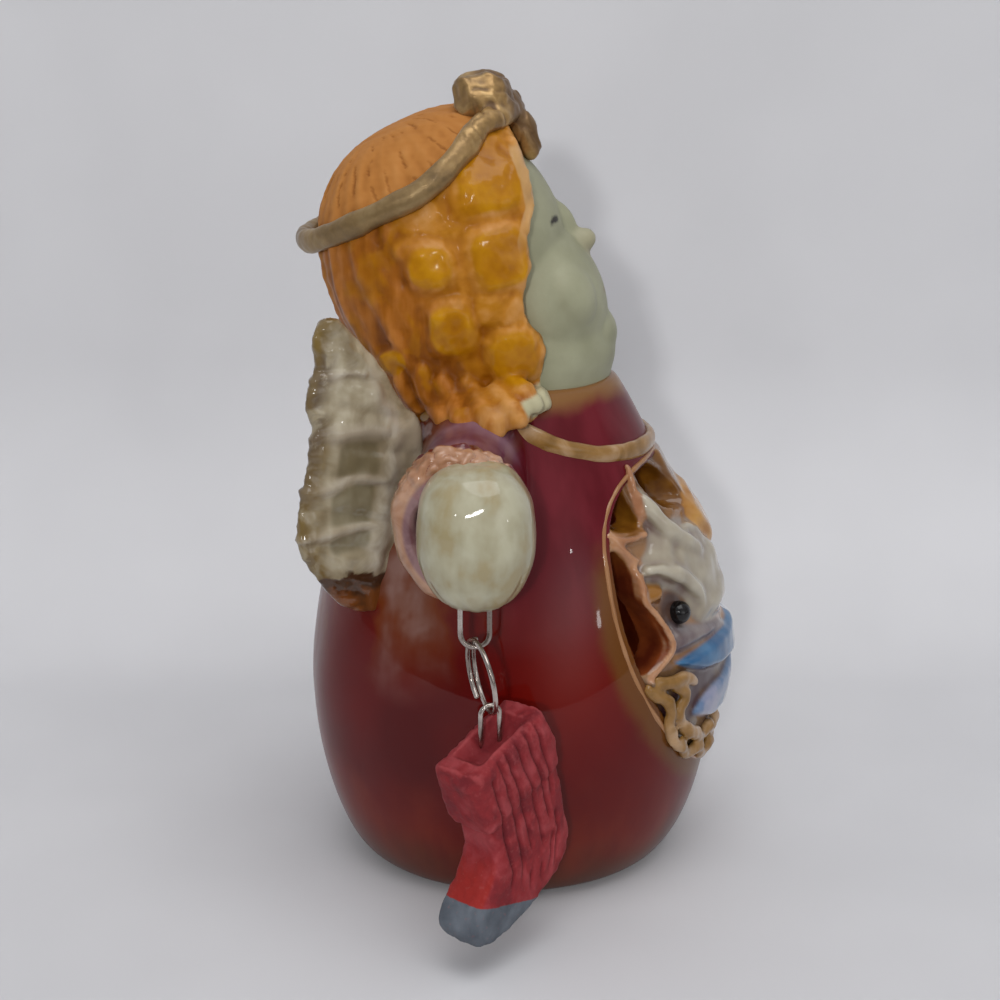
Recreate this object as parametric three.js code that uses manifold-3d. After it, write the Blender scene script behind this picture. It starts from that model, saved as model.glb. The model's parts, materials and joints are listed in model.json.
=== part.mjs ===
// Ceramic angel figurine: a hollow slip-cast body for a tea light, with a clay stocking on a wire ring.
// Millimetres, +Z up. The angel faces -Y and its right hand points to -X. Its left side mirrors its right.
import * as THREE from "three";
import { mergeVertices } from "three/addons/utils/BufferGeometryUtils.js";
import Module from "manifold-3d";

// The robe is a body of revolution: a round foot up to the widest height, then a taper to the neck.
const FOOT_RADIUS = 27;
const GIRTH_RADIUS = 39.8;
const GIRTH_Z = 36;
const FOOT_POWER = 1.75;
const TAPER = 0.548;
const TAPER_SPAN = 61;
const TAPER_POWER = 1.8;
const NECK_TOP = 103;
const NECK_RADIUS = 15;
const WALL = 3.6;
const FLOOR = 4.5;
const CAVITY_TOP = 92;
const TEALIGHT_HOLE = 21;
// Columns round the robe stand closer together in front, where the belly is carved.
const BODY_SIDES = 36;
const FRONT_DENSITY = 0.5;
const FOOT_ROWS = [0, 0.5, 2.4, 6.5, 12.5];
const BELLY_ROWS = 16;
const BELLY_LOW = 19;
const BELLY_HIGH = 80;
const SHOULDER_ROWS = [85, 91, 97];
const HOLLOW_ROWS = 5;
const HOLLOW_SIDES = 26;
// The axis of the robe stands a little off the origin, so that the origin is under the middle of the whole.
const AXIS_X = 2.7;
const AXIS_Y = 1.6;

// The belly opening: a rim with a flat top and a round bottom, in degrees round the robe and in height.
const RIM_SPREAD = 61;
const RIM_Z = 62;
const RIM_UP = 19;
const RIM_DOWN = 43;
const RIM_TOP_POWER = 3.2;
const RIM_LOW_POWER = 2;
const RIM_THICK = 1.1;
const RIM_PROUD = 0.2;
const RIM_STEPS = 28;
const RIM_SIDES = 3;
// Windows of the right side, each a few corners of a smooth outline: degrees from the front, height.
const WINDOWS = [
  [[31, 79.2], [18, 79], [6, 77.5], [6, 71], [15, 70], [25, 71.5], [30, 75]],
  [[37, 78.4], [47, 76.9], [53.5, 73], [55, 70], [47, 69.3], [39.5, 70]],
  [
    [56, 66], [58.6, 61], [57.6, 54], [54.5, 47.5], [50.5, 42.4], [44.5, 44], [45, 52], [49, 60.5],
    [52.5, 64.5],
  ],
];
const WINDOW_DEPTH = 26;

// Raised forms on the belly: degrees from the front, height, half width, half height, how far they stand
// out, and their turn in degrees. A greater power would make them boxier.
const RELIEF_POWER = 0.7;
const LAMB = [
  [26, 61, 9.5, 7.2, 5, -25],
  [35, 53.5, 8, 6.2, 5, -15],
  [40, 66, 6.5, 3.4, 4.2, -35],
  [37, 74, 3, 5.5, 3.6, 12],
  [49, 66.5, 5.5, 2.6, 3.4, 18],
  [11, 53, 8, 8.5, 5, 0],
  [41, 47.5, 4.5, 4, 4, 30],
];
const CREST = [[0, 67, 3.4, 8, 5.6, 0], [9, 67, 3, 7.2, 4.6, -18], [16.5, 65, 2.6, 5.6, 4, -34]];
const EYE = [32.3, 53.7, 2.5];
const SCARF = [[17, 43.6, 11.5, 3, 4.6, -6], [19, 36.5, 11, 3.2, 4.4, 14], [9, 30.5, 7.5, 4, 4.2, 28]];
const FRILL_FROM = 196;
const FRILL_TO = 344;
const FRILL_INSET = 0.88;
const FRILL_PROUD = 1;
const FRILL_WAVES = 9;
const FRILL_WAVE = 1.3;
const FRILL_THICK = 2.1;
const FRILL_STEPS = 36;

// The collar is a raised line that climbs from the chest to the nape.
const COLLAR_Z = 82.6;
const COLLAR_CLIMB = 6.2;
const COLLAR_SPAN = 87;
const COLLAR_POWER = 3.5;
const COLLAR_MOST = 1.3;
const COLLAR_THICK = 1.5;

// The head is built upright round its own centre, then tilted back.
const HEAD_CENTRE = [0, 10, 118];
const HEAD_TILT = -25;
const SKULL = [[0, -2.5, 1], [19.2, 17.8, 23]];
const JAW = [[0, -8.6, -14], [17, 13.6, 16.8]];
const NOSE = [[0, -21, -9], [2.7, 3.3, 2.5]];
const CHIN = [[0, -15.6, -24], [7.4, 5.8, 5.2]];

// The hair: half sizes of a rounded block, hollowed in front where the face comes through.
const HAIR_CENTRE = [0, 0.3, -4];
const HAIR_HALF = [22.3, 25.3, 30.6];
const HAIR_POWER = 2.5;
const HAIR_STRANDS = 18;
const HAIR_ROWS = 15;
const HAIR_GROOVE = 0.55;
const HAIRLINE_U = 9;
const HAIRLINE_Y = -9;
// Curls over a temple and cheek: distance back from the middle and height in the upright head frame, radius.
const CURLS = [
  [-11.2, 9.5, 7], [-9, -1.5, 6.8], [3.2, 1.5, 6], [3.2, -10.2, 6.8], [-4.6, -16.6, 7], [14.6, -12, 5.6],
  [11.2, -20.4, 6], [2.6, -25, 6], [9.4, -30, 5.6],
];
const CURL_PROUD = 3.2;
// Curls rise to their full height between these parts of the hair's half width, and the hair falls back
// behind the hairline over this height.
const CURL_FROM = 0.25;
const CURL_FULL = 0.6;
const HAIRLINE_BLEND = 6;

// The halo is a band round the crown with a bow on the forehead.
const HALO_U = 12.4;
const HALO_Y = 1.2;
const HALO_HALF = [21.4, 23.4];
const HALO_THICK = 1.9;
const BOW_LOBE = [[-6.8, -15.8, 23], [7, 4.6, 5]];
const BOW_CREASES = 7;
const BOW_CREASE = 0.07;
const BOW_KNOT = [[0, -16.2, 22], [4.4, 4.2, 5.2]];
const BOW_TAIL = [[0, -18.8, 13.6], [4.2, 3.4, 6.8]];

// Wings: each stands on the back of a shoulder and sweeps out from its root.
const WING_ROOT = [-21.6, 20.6];
const WING_SWEEP = 36;
const WING_THICK = 4.8;
// Both edges as places in the blade: distance from the root, height.
const WING_TRAILING = [
  [11, 55.6], [20.9, 68], [21.6, 77], [18.6, 88], [19.5, 95], [17.6, 102], [14.6, 110.5],
];
const WING_LEADING = [[5.5, 55.6], [-2, 68], [-4, 77], [-4, 88], [0.4, 95], [5, 102], [13, 110.5]];
const WING_LEVELS = 12;
const WING_FEATHERS = 5;
const WING_RIB = 0.22;
const WING_SLIM = 0.35;
const WING_SLIM_POWER = 4;

// Sleeves: a bell from the shoulder to a rolled cuff. The hand is an egg in the cuff. The bell's profile is
// in parts of the cuff's radius and of the way from the shoulder to the cuff.
const SHOULDER = [-19.7, 6.6, 80.8];
const CUFF = [-42.4, 9.2, 76.2];
const SLEEVE_PROFILE = [
  [0, -0.16], [0.76, -0.16], [0.84, 0.35], [0.87, 0.72], [0.95, 0.9], [1, 0.98], [0.98, 1.05],
  [0.88, 1.05], [0.83, 0.94], [0.74, 0.87], [0, 0.86],
];
const CUFF_RADIUS = 14.8;
const CUFF_SQUASH = 0.82;
const HAND_CENTRE = [-48.4, 6.6, 75.8];
const HAND_HALF = [9.6, 9.9, 12.8];
const THUMB = [[-49.2, 0.8, 84.4], [4.4, 3, 3.6]];
const FINGER_WAVES = 9;
const FINGER_GROOVE = 0.05;

// Wire parts: a U in the hand, a split ring that hangs in it, and a small eye on which the stocking hangs.
const WIRE = 1.1;
const WIRE_SIDES = 6;
const CLEARANCE = 0.35;
const LOOP_BOTTOM = [-50.2, 6.8, 56.9];
const LOOP_RADIUS = 2.5;
const LOOP_LEG = 9;
const RING_RADIUS = 6.5;
const RING_HANG = [-2.4, -2.6, -12.5];
const RING_SPIN = 18;
const EYELET_RADIUS = 1.7;
const EYELET_LEG = 6;
const EYELET_SOCKET = 1;

// The stocking: corners of its outline with the cuff on top, relative to the middle of the cuff's top edge.
const STOCKING_TOP = [-53.8, 4.1, 41.2];
const STOCKING_TURN = -42;
const STOCKING_TILT = 22;
const STOCKING_THICK = 9.4;
const STOCKING_BEVEL = 1.3;
const STOCKING_OUTLINE = [
  [8.4, 0], [9, -6], [8.6, -13], [7.4, -21], [5.4, -26.5], [1, -30], [-6, -31.4], [-14, -31], [-19, -29.4],
  [-20.4, -26.4], [-18.6, -23.8], [-14.4, -22.2], [-10.6, -19], [-9, -15.6],
];
const STOCKING_TOP_CORNERS = [[-9.2, -6], [-8.4, 0]];
const STOCKING_CUFF = [[9.4, 0.4], [9.4, -11.4], [-9.6, -11.4], [-9.2, 0.4]];
const STOCKING_CUFF_STEP = 1.1;
// Grooves down the sock: the places across it where they start, and the line that each follows.
const STOCKING_GROOVES = [-4.4, 0.4, 5];
const GROOVE_LINE = [[0, 2], [0.2, -12], [-1.2, -22], [-4.5, -27.5]];
const GROOVE_RADIUS = 0.7;

const GLAZE_RED = new THREE.MeshStandardMaterial({ color: 0x7d1f24, roughness: 0.2, metalness: 0 });
const STEEL = new THREE.MeshStandardMaterial({ color: 0x9a9894, roughness: 0.35, metalness: 1 });
const RED_CLAY = new THREE.MeshStandardMaterial({ color: 0xb02b3a, roughness: 0.8, metalness: 0 });

const wasm = await Module();
wasm.setup();

const DEG = Math.PI / 180;
const WELD = 1e-4;

// A geometry with shared corners, so that what moves one copy of a corner moves them all.
function welded(geometry) {
  const bare = geometry.clone();
  bare.deleteAttribute("normal");
  bare.deleteAttribute("uv");
  const merged = mergeVertices(bare, WELD);
  const kept = [];
  const corners = merged.index.array;
  for (let i = 0; i < corners.length; i += 3) {
    const [a, b, c] = [corners[i], corners[i + 1], corners[i + 2]];
    if (a !== b && b !== c && a !== c) {
      kept.push(a, b, c);
    }
  }
  merged.setIndex(kept);
  return merged;
}

// Moves every corner of a geometry by a function of its place.
function shaped(geometry, move) {
  const position = geometry.attributes.position;
  const point = new THREE.Vector3();
  for (let i = 0; i < position.count; i += 1) {
    move(point.fromBufferAttribute(position, i));
    position.setXYZ(i, point.x, point.y, point.z);
  }
  return geometry;
}

// Six times the signed volume of a closed mesh: negative when its faces point in.
function signedVolume(positions, corners) {
  const at = (i) => new THREE.Vector3().fromArray(positions, 3 * corners[i]);
  let sum = 0;
  for (let i = 0; i < corners.length; i += 3) {
    sum += at(i).dot(at(i + 1).cross(at(i + 2)));
  }
  return sum;
}

// A closed geometry as a solid with its faces pointing out.
function solid(geometry) {
  const closed = welded(geometry);
  const vertProperties = new Float32Array(closed.attributes.position.array);
  const triVerts = new Uint32Array(closed.index.array);
  if (signedVolume(vertProperties, triVerts) < 0) {
    for (let i = 0; i < triVerts.length; i += 3) {
      [triVerts[i], triVerts[i + 1]] = [triVerts[i + 1], triVerts[i]];
    }
  }
  return new wasm.Manifold(new wasm.Mesh({ numProp: 3, vertProperties, triVerts }));
}

function joined(solids) {
  return solids.reduce((whole, piece) => whole.add(piece));
}

function cut(whole, tools) {
  return tools.reduce((rest, tool) => rest.subtract(tool), whole);
}

// The same geometry on the angel's other side.
function mirrored(geometry) {
  return geometry.clone().scale(-1, 1, 1);
}

// Both sides of a form that is built for the right side.
function pair(geometry) {
  return [solid(geometry), solid(mirrored(geometry))];
}

function ball(centre, half, around, up) {
  const geometry = welded(new THREE.SphereGeometry(1, around, up).rotateX(Math.PI / 2));
  geometry.scale(...half);
  return geometry.translate(...centre);
}

// A round bar of the given radius along an open curve, with flat ends.
function bar(curve, radius, steps, sides) {
  const section = new THREE.Shape();
  for (let i = 0; i < sides; i += 1) {
    const angle = (2 * Math.PI * i) / sides;
    const corner = [radius * Math.cos(angle), radius * Math.sin(angle)];
    section[i === 0 ? "moveTo" : "lineTo"](...corner);
  }
  section.closePath();
  return new THREE.ExtrudeGeometry(section, { steps, bevelEnabled: false, extrudePath: curve });
}

// A closed bead of the given radius along the closed curve that a function of the turn (0 to 1) draws.
function bead(pointAt, radius, steps, sides) {
  const points = Array.from({ length: steps }, (_, i) => pointAt(i / steps));
  const curve = new THREE.CatmullRomCurve3(points, true);
  return new THREE.TubeGeometry(curve, steps, radius, sides, true);
}

function bodyRadius(z) {
  if (z >= GIRTH_Z) {
    return GIRTH_RADIUS * (1 - TAPER * ((z - GIRTH_Z) / TAPER_SPAN) ** TAPER_POWER);
  }
  const drop = Math.min(1, (GIRTH_Z - z) / GIRTH_Z);
  return FOOT_RADIUS + (GIRTH_RADIUS - FOOT_RADIUS) * Math.sqrt(1 - drop ** FOOT_POWER);
}

// A point on the robe: degrees from the front towards the right side, height, distance out of the surface.
function onRobe(degrees, z, out) {
  const radius = bodyRadius(z) + out;
  return new THREE.Vector3(-radius * Math.sin(degrees * DEG), -radius * Math.cos(degrees * DEG), z);
}

// How far the carving stands out of the robe: the highest of the rounded forms at a place.
function relief(degrees, z) {
  const side = Math.abs(degrees);
  const heights = [...LAMB, ...CREST, ...SCARF].map(([centre, level, halfWidth, halfHeight, proud, turn]) => {
    const dx = (centre - side) * DEG * bodyRadius(z);
    const dz = z - level;
    const across = dx * Math.cos(turn * DEG) + dz * Math.sin(turn * DEG);
    const upward = dz * Math.cos(turn * DEG) - dx * Math.sin(turn * DEG);
    return proud * Math.max(0, 1 - (across / halfWidth) ** 2 - (upward / halfHeight) ** 2) ** RELIEF_POWER;
  });
  return Math.max(0, ...heights);
}

// A solid turned round the axis from its radii at a row of heights, with flat ends.
function turned(rows, sides) {
  const profile = rows.map(([radius, z]) => new THREE.Vector2(radius, z));
  const low = new THREE.Vector2(0, rows[0][1]);
  const high = new THREE.Vector2(0, rows[rows.length - 1][1]);
  return welded(new THREE.LatheGeometry([low, ...profile, high], sides).rotateX(Math.PI / 2));
}

function evenRows(low, high, count) {
  return Array.from({ length: count + 1 }, (_, i) => low + ((high - low) * i) / count);
}

// The outside of the robe, with the carving of its belly.
function robe() {
  const heights = [...FOOT_ROWS, ...evenRows(BELLY_LOW, BELLY_HIGH, BELLY_ROWS), ...SHOULDER_ROWS];
  const rows = [...heights.map((z) => [bodyRadius(z), z]), [NECK_RADIUS, NECK_TOP]];
  return solid(shaped(turned(rows, BODY_SIDES), (p) => {
    const turn = Math.atan2(-p.x, -p.y) / Math.PI;
    const angle = Math.PI * (FRONT_DENSITY * turn + (1 - FRONT_DENSITY) * turn ** 3);
    const around = Math.hypot(p.x, p.y);
    const radius = around + (around > NECK_RADIUS + 1 ? relief(angle / DEG, p.z) : 0);
    p.x = -radius * Math.sin(angle);
    p.y = -radius * Math.cos(angle);
  }));
}

// The hollow inside, open below through a round hole that takes a tea light.
function hollow() {
  const rows = evenRows(FLOOR, CAVITY_TOP, HOLLOW_ROWS).map((z) => [bodyRadius(z) - WALL, z]);
  const hole = [[TEALIGHT_HOLE, -1], [TEALIGHT_HOLE, FLOOR]];
  return solid(turned([...hole, ...rows], HOLLOW_SIDES));
}

// The belly opening's edge at an angle: 90 is its top and 270 its bottom. Inset 1 is the edge itself.
function rimPoint(angle, inset) {
  const across = Math.cos(angle);
  const along = Math.sin(angle);
  const power = along > 0 ? RIM_TOP_POWER : RIM_LOW_POWER;
  const rise = along > 0 ? RIM_UP : RIM_DOWN;
  const degrees = RIM_SPREAD * Math.sign(across) * Math.abs(across) ** (2 / power);
  const z = RIM_Z + rise * Math.sign(along) * Math.abs(along) ** (2 / power) * inset;
  return [degrees * inset, z];
}

function bellyRim() {
  const edge = (turn) => onRobe(...rimPoint(turn * 2 * Math.PI, 1), RIM_PROUD);
  return solid(bead(edge, RIM_THICK, RIM_STEPS, RIM_SIDES));
}

// A prism through the wall under a smooth closed outline of corners in degrees and height.
function windowTool(corners) {
  const loop = new THREE.SplineCurve([...corners, corners[0]].map((corner) => new THREE.Vector2(...corner)));
  const outline = new THREE.Shape(loop.getPoints(2 * corners.length).slice(0, -1));
  const prism = welded(new THREE.ExtrudeGeometry(outline, { depth: 1, steps: 1, bevelEnabled: false }));
  return shaped(prism, (p) => {
    const out = p.z > 0.5 ? WINDOW_DEPTH / 2 : -WINDOW_DEPTH / 2;
    p.copy(onRobe(p.x, p.y, out));
  });
}

function frill() {
  const count = FRILL_WAVES * 6;
  const points = Array.from({ length: count + 1 }, (_, i) => {
    const angle = (FRILL_FROM + ((FRILL_TO - FRILL_FROM) * i) / count) * DEG;
    const wave = FRILL_WAVE * Math.sin((2 * Math.PI * FRILL_WAVES * i) / count);
    const [degrees, z] = rimPoint(angle, FRILL_INSET);
    return onRobe(degrees, z + wave, FRILL_PROUD + wave / 2);
  });
  return solid(bar(new THREE.CatmullRomCurve3(points), FRILL_THICK, FRILL_STEPS, 4));
}

function collar() {
  return solid(bead((turn) => {
    const degrees = 360 * turn - 180;
    const climb = Math.min(COLLAR_MOST, (Math.abs(degrees) / COLLAR_SPAN) ** COLLAR_POWER);
    return onRobe(degrees, COLLAR_Z + COLLAR_CLIMB * climb, 0);
  }, COLLAR_THICK, 24, 3));
}

// From the upright head frame to the figure's frame.
function onHead(geometry) {
  return geometry.rotateX(HEAD_TILT * DEG).translate(...HEAD_CENTRE);
}

function face() {
  return [SKULL, JAW].map(([centre, half]) => solid(onHead(ball(centre, half, 14, 8))))
    .concat([NOSE, CHIN].map(([centre, half]) => solid(onHead(ball(centre, half, 8, 5)))));
}

// How far the nearest curl stands out of the hair at a place in the upright head frame.
function curlAt(p) {
  const side = THREE.MathUtils.smoothstep(Math.abs(p.x), CURL_FROM * HAIR_HALF[0], CURL_FULL * HAIR_HALF[0]);
  const swell = CURLS.map(([y, u, radius]) => (
    Math.sqrt(Math.max(0, 1 - ((p.y - y) ** 2 + (p.z - u) ** 2) / radius ** 2))));
  return CURL_PROUD * side * Math.max(0, ...swell);
}

// The hair: a rounded block with combed strands and side curls, pressed back behind the hairline.
function hair() {
  const block = ball([0, 0, 0], [1, 1, 1], 2 * HAIR_STRANDS, HAIR_ROWS);
  shaped(block, (p) => {
    const outward = new THREE.Vector3(p.x, p.y, 0);
    const strand = HAIR_GROOVE * Math.cos(HAIR_STRANDS * Math.atan2(p.x, p.y)) * outward.length();
    const round = Math.abs(p.x) ** HAIR_POWER + Math.abs(p.y) ** HAIR_POWER + Math.abs(p.z) ** HAIR_POWER;
    p.multiplyScalar(round ** (-1 / HAIR_POWER));
    p.multiply(new THREE.Vector3(...HAIR_HALF)).add(new THREE.Vector3(...HAIR_CENTRE));
    const curl = curlAt(p);
    p.addScaledVector(outward, curl > 0 ? curl : strand);
    const below = THREE.MathUtils.smoothstep(HAIRLINE_U - p.z, 0, HAIRLINE_BLEND);
    const front = THREE.MathUtils.lerp(-HAIR_HALF[1], HAIRLINE_Y, below);
    p.y = Math.max(p.y, front);
  });
  return solid(onHead(block));
}

function halo() {
  const ring = bead((turn) => {
    const angle = 2 * Math.PI * turn;
    return new THREE.Vector3(HALO_HALF[0] * Math.sin(angle), HALO_Y + HALO_HALF[1] * Math.cos(angle), HALO_U);
  }, HALO_THICK, 22, 4);
  const knots = [BOW_KNOT, BOW_TAIL].map(([centre, half]) => solid(onHead(ball(centre, half, 8, 6))));
  return [solid(onHead(ring)), ...knots, ...pair(onHead(crinkledLobe(BOW_LOBE)))];
}

// A bow lobe: a round pad with radial creases.
function crinkledLobe([centre, half]) {
  const pad = ball([0, 0, 0], [1, 1, 1], 10, 7);
  shaped(pad, (p) => {
    const crease = Math.cos(BOW_CREASES * Math.atan2(p.z, p.y)) * (1 - Math.abs(p.x));
    p.multiplyScalar(1 + BOW_CREASE * crease);
  });
  return pad.scale(...half).translate(...centre);
}

// A wing: a flat blade whose leading and trailing edges are smooth lines, ribbed into feathers.
function wing() {
  const toCurve = (edge) => new THREE.SplineCurve(edge.map((corner) => new THREE.Vector2(...corner)));
  const trailing = toCurve(WING_TRAILING);
  const leading = toCurve(WING_LEADING);
  const blade = welded(new THREE.CylinderGeometry(1, 1, 1, 8, WING_LEVELS).rotateX(Math.PI / 2));
  shaped(blade, (p) => {
    const level = p.z + 0.5;
    const back = trailing.getPoint(level);
    const front = leading.getPoint(level);
    const middle = (back.x + front.x) / 2;
    const half = (back.x - front.x) / 2;
    const feather = Math.abs(Math.sin(Math.PI * WING_FEATHERS * level));
    const rib = 1 - WING_RIB * (1 - feather);
    const slim = 1 - WING_SLIM * Math.abs(2 * level - 1) ** WING_SLIM_POWER;
    p.set(middle + half * p.x, (WING_THICK / 2) * p.y * rib * slim, back.y);
  });
  blade.rotateZ((90 + WING_SWEEP) * DEG);
  return blade.translate(WING_ROOT[0], WING_ROOT[1], 0);
}

// A turned form laid along the line from one place to another, squashed sideways.
function along(geometry, from, to, squash) {
  const start = new THREE.Vector3(...from);
  const axis = new THREE.Vector3(...to).sub(start).normalize();
  const side = new THREE.Vector3(0, 0, 1).cross(axis).normalize();
  const up = axis.clone().cross(side);
  const frame = new THREE.Matrix4().makeBasis(side, up, axis).setPosition(start);
  return geometry.scale(squash, 1, 1).applyMatrix4(frame);
}

function sleeve() {
  const length = new THREE.Vector3(...SHOULDER).distanceTo(new THREE.Vector3(...CUFF));
  const profile = SLEEVE_PROFILE.map(([r, t]) => new THREE.Vector2(r * CUFF_RADIUS, t * length));
  const bell = new THREE.LatheGeometry(profile, 14).rotateX(Math.PI / 2);
  return along(bell, SHOULDER, CUFF, CUFF_SQUASH);
}

// The hand: an egg with shallow grooves between the fingers at its lower end.
function hand() {
  const egg = ball([0, 0, 0], [1, 1, 1], 12, 8);
  shaped(egg, (p) => {
    const low = THREE.MathUtils.smoothstep(-p.z, 0.2, 0.9);
    p.multiplyScalar(1 - FINGER_GROOVE * low * Math.cos(FINGER_WAVES * Math.atan2(p.y, p.x)));
  });
  return egg.scale(...HAND_HALF).translate(...HAND_CENTRE);
}

// A pair of upright round sockets for the legs of a wire, centred on the given level.
function legSockets([x, y, z], offset, turn) {
  const radius = WIRE / 2 + CLEARANCE;
  return [-offset, offset].map((side) => {
    const socket = new THREE.CylinderGeometry(radius, radius, 2 * LOOP_LEG, 8).rotateX(Math.PI / 2);
    return solid(socket.translate(0, side, LOOP_LEG).rotateZ(turn * DEG).translate(x, y, z));
  });
}

function figure() {
  const [degrees, level, radius] = EYE;
  const place = onRobe(degrees, level, relief(degrees, level)).toArray();
  const eyes = pair(ball(place, [radius, radius, radius], 7, 4));
  const arms = [...pair(sleeve()), ...pair(hand()), ...pair(ball(...THUMB, 7, 5))];
  const whole = joined([
    robe(), bellyRim(), frill(), collar(), ...eyes, ...face(), hair(), ...halo(), ...pair(wing()), ...arms,
  ]);
  const windows = WINDOWS.flatMap((corners) => pair(windowTool(corners)));
  return cut(whole, [hollow(), ...windows, ...legSockets(LOOP_BOTTOM, LOOP_RADIUS, 0)]);
}

// A wire bent to a U: a half circle at the origin in the Y-Z plane, with both legs up.
function wireU(radius, leg) {
  const points = [];
  const legSteps = 3;
  const bendSteps = 8;
  for (let i = 0; i < legSteps; i += 1) {
    points.push(new THREE.Vector3(0, -radius, radius + leg * (1 - i / legSteps)));
  }
  for (let i = 0; i <= bendSteps; i += 1) {
    const angle = Math.PI + (Math.PI * i) / bendSteps;
    points.push(new THREE.Vector3(0, radius * Math.cos(angle), radius + radius * Math.sin(angle)));
  }
  for (let i = 1; i <= legSteps; i += 1) {
    points.push(new THREE.Vector3(0, radius, radius + (leg * i) / legSteps));
  }
  return bar(new THREE.CatmullRomCurve3(points), WIRE / 2, 14, WIRE_SIDES);
}

function handLoop() {
  return solid(wireU(LOOP_RADIUS, LOOP_LEG - 1).translate(...LOOP_BOTTOM));
}

// Where the ring hangs: its top rests in the loop, just clear of it.
const HANG = new THREE.Vector3(...RING_HANG).normalize();
const RING_TOP = new THREE.Vector3(...LOOP_BOTTOM).add(new THREE.Vector3(0, 0, WIRE + CLEARANCE));
const RING_LOW = RING_TOP.clone().addScaledVector(HANG, 2 * RING_RADIUS);
const EYELET_TOP = RING_LOW.clone().add(new THREE.Vector3(0, 0, WIRE + CLEARANCE));

// The split ring, drawn as one closed turn in the plane of its hang and of the wire's way through the loop.
function jumpRing() {
  const way = new THREE.Vector3(Math.cos(RING_SPIN * DEG), Math.sin(RING_SPIN * DEG), 0);
  way.addScaledVector(HANG, -way.dot(HANG)).normalize();
  const centre = RING_TOP.clone().addScaledVector(HANG, RING_RADIUS);
  return solid(bead((turn) => {
    const angle = 2 * Math.PI * turn;
    return centre.clone().addScaledVector(HANG, -RING_RADIUS * Math.cos(angle))
      .addScaledVector(way, RING_RADIUS * Math.sin(angle));
  }, WIRE / 2, 22, WIRE_SIDES));
}

function stockingEyelet() {
  const eye = wireU(EYELET_RADIUS, EYELET_LEG).rotateX(Math.PI).rotateZ(RING_SPIN * DEG);
  return solid(eye.translate(...EYELET_TOP.toArray()));
}

// From the stocking's own outline plane to its hanging place.
function hung(geometry) {
  geometry.translate(0, 0, -STOCKING_THICK / 2);
  geometry.rotateX(Math.PI / 2).rotateY(-STOCKING_TILT * DEG).rotateZ(STOCKING_TURN * DEG);
  return geometry.translate(...STOCKING_TOP);
}

function plate(corners, thick, bevel, smooth) {
  const points = corners.map((corner) => new THREE.Vector2(...corner));
  const outline = new THREE.Shape(smooth ? new THREE.SplineCurve(points).getPoints(22) : points);
  const options = { depth: thick - 2 * bevel, steps: 1, bevelThickness: bevel, bevelSize: bevel };
  options.bevelOffset = -bevel;
  options.bevelSegments = 2;
  return new THREE.ExtrudeGeometry(outline, options).translate(0, 0, bevel);
}

// Grooves down both broad sides of the sock, below the cuff.
function stockingGrooves() {
  return STOCKING_GROOVES.flatMap((across) => [-0.5, 0.5].map((side) => {
    const points = GROOVE_LINE.map(([sway, level]) => (
      new THREE.Vector3(across + sway, level, STOCKING_THICK * (0.5 + side))));
    return solid(hung(bar(new THREE.CatmullRomCurve3(points), GROOVE_RADIUS, 3, 4)));
  }));
}

function stocking() {
  const outline = [...STOCKING_OUTLINE, ...STOCKING_TOP_CORNERS];
  const sock = solid(hung(plate(outline, STOCKING_THICK, STOCKING_BEVEL, true)));
  const cuffPlate = plate(STOCKING_CUFF, STOCKING_THICK + 2 * STOCKING_CUFF_STEP, STOCKING_BEVEL, false);
  const cuff = solid(hung(cuffPlate.translate(0, 0, -STOCKING_CUFF_STEP)));
  const eyeletFoot = EYELET_TOP.z - EYELET_RADIUS - EYELET_LEG - EYELET_SOCKET;
  const sockets = legSockets([EYELET_TOP.x, EYELET_TOP.y, eyeletFoot], EYELET_RADIUS, RING_SPIN);
  return cut(joined([cut(sock, stockingGrooves()), cuff]), sockets);
}

function named(name, form, material) {
  const { numProp, vertProperties, triVerts } = form.getMesh();
  const geometry = new THREE.BufferGeometry();
  geometry.setAttribute("position", new THREE.BufferAttribute(vertProperties, numProp));
  geometry.setIndex(new THREE.BufferAttribute(triVerts, 1));
  geometry.computeVertexNormals();
  const mesh = new THREE.Mesh(geometry, material);
  mesh.name = name;
  return mesh;
}

const angel = new THREE.Group();
angel.add(named("figure", figure(), GLAZE_RED));
angel.add(named("hand_loop", handLoop(), STEEL));
angel.add(named("jump_ring", jumpRing(), STEEL));
angel.add(named("stocking_eyelet", stockingEyelet(), STEEL));
angel.add(named("stocking", stocking(), RED_CLAY));
angel.position.set(AXIS_X, AXIS_Y, 0);

export default angel;
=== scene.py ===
"""Looks of the ceramic angel figurine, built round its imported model.

Forms are worked out in millimetres from the body's own upright axis. The angel faces -Y, and its right hand,
with the stocking, points to -X. A form becomes metres in the row's frame when it becomes a mesh.
"""

import json
import math

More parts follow.
